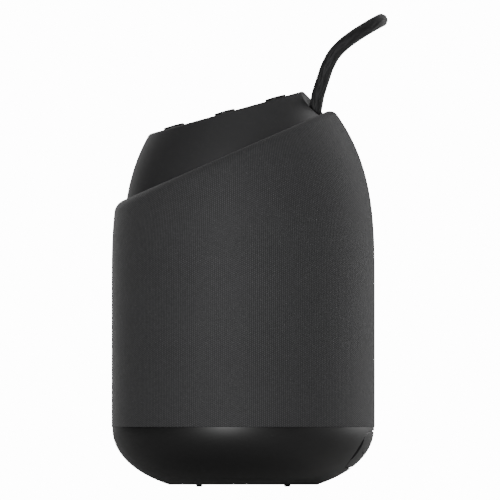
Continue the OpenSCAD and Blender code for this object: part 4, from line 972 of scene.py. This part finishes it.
mark_w, sign_l, loop_r = 0.34, 2.6, 0.75
minus = bar_mark(0, 0, sign_l, mark_w)
triangle = (np.array([[-1.5, 0.1], [-1.5, 0.1]]), np.array([[-1.1, -0.01], [1.1, 0.01]]))
marks = {
    "volume_down": [minus],
    "volume_up": [minus, bar_mark(0, 0.76, mark_w, 1.1), bar_mark(0, -0.76, mark_w, 1.1)],
    "play": [triangle, bar_mark(0.7, 0, mark_w, 2.0), bar_mark(1.4, 0, mark_w, 2.0)],
    "power": [ring_mark(1.25, mark_w, 125, 415), bar_mark(0, 0.95, mark_w, 1.3)],
    "link": [ring_mark(loop_r, mark_w, 40, 320, (-loop_r, 0)),
             ring_mark(loop_r, mark_w, -140, 140, (loop_r, 0)), bar_mark(0, 0, 1.3, mark_w)],
}
crown_r = key_r - key_edge_r
radii = np.linspace(crown_r, 0, 10)
key_profile = joined((0, key_post_low), (post_r, key_post_low), (post_r, key_low), (key_r, key_low),
                     arc(crown_r, float(crown_height(crown_r, 0)) - key_edge_r, key_edge_r, 0, 90, 6),
                     (radii, crown_height(radii, 0)))
for key, (x, y) in key_places.items():
    place = np.array([key_pitch * x, key_pitch * y, 0])
    cap = piece_from_grids(f"key_cap_{key}", [on_deck(lathe(*key_profile, 72) + place)])
    finish_piece(cap, key_silicone, f"key_{key}", "key_silicone", f"key_{key}")
    slabs = [on_deck(part + place) for mark in marks[key] for part in printed(mark)]
    finish_piece(piece_from_grids(f"key_mark_{key}", slabs), print_white, f"key_{key}", "key_silicone")


# --- Studio -------------------------------------------------------------------------------
# A pale paper floor under a sky that the camera sees white, though it lights the speaker only
# faintly. Soft boxes stand round it: a narrow one before the viewed side, wide ones round the
# rear half, a low one for the bowl and one overhead.
light_distance, light_aim = 0.6, Vector((0, 0, 0.08))


def soft_box(name, turn, rise, size, power):
    """A rectangular area light at light_distance from light_aim, and facing it.

    turn is measured in degrees from X towards Y and rise from the level up:
    direction = (cos rise cos turn, cos rise sin turn, sin rise)."""
    turn, rise = np.radians(turn), np.radians(rise)
    direction = Vector((np.cos(rise) * np.cos(turn), np.cos(rise) * np.sin(turn), np.sin(rise)))
    light = bpy.data.objects.new(name, bpy.data.lights.new(name, "AREA"))
    light.data.shape, light.data.size, light.data.size_y = "RECTANGLE", *size
    light.data.energy = power
    light.location = light_aim + light_distance * direction
    light.rotation_euler = (-direction).to_track_quat("-Z", "Y").to_euler()
    bpy.context.scene.collection.objects.link(light)


soft_box("soft_box_side", -15, 5, (0.12, 0.3), 2.6)
soft_box("soft_box_right", 70, 20, (0.3, 0.6), 0.5)
soft_box("soft_box_right_rear", 120, 20, (0.3, 0.6), 1.2)
soft_box("soft_box_rear", 140, 20, (0.3, 0.6), 0.6)
soft_box("soft_box_low", 105, -4, (0.3, 0.1), 0.25)
soft_box("soft_box_top", 0, 88, (0.6, 0.6), 0.6)
soft_box("soft_box_left_rear", -150, 20, (0.3, 0.6), 0.5)
floor_half = 3.0
floor_corners = [(x * floor_half, y * floor_half, 0) for x, y in ((-1, -1), (1, -1), (1, 1), (-1, 1))]
floor_mesh = bpy.data.meshes.new("studio_floor")
floor_mesh.from_pydata(floor_corners, [], [(0, 1, 2, 3)])
floor = bpy.data.objects.new("studio_floor", floor_mesh)
bpy.context.scene.collection.objects.link(floor)
studio_paper = moulded("studio_paper", (0.80, 0.80, 0.79), 0.9, grain_mm=2.0, dust=0.0)
floor_mesh.materials.append(studio_paper)
world = bpy.data.worlds.new("studio_sky")
bpy.context.scene.world = world
world.use_nodes = True
sky = world.node_tree
seen = put_node(sky, "ShaderNodeLightPath").outputs["Is Camera Ray"]
sky_light, sky_seen = 0.02, 14.0
strength = put_node(sky, "ShaderNodeMapRange", Value=seen, To_Min=sky_light, To_Max=sky_seen).outputs[0]
sky.links.new(strength, sky.nodes["Background"].inputs["Strength"])
sky.nodes["Background"].inputs["Color"].default_value = (1, 1, 1, 1)
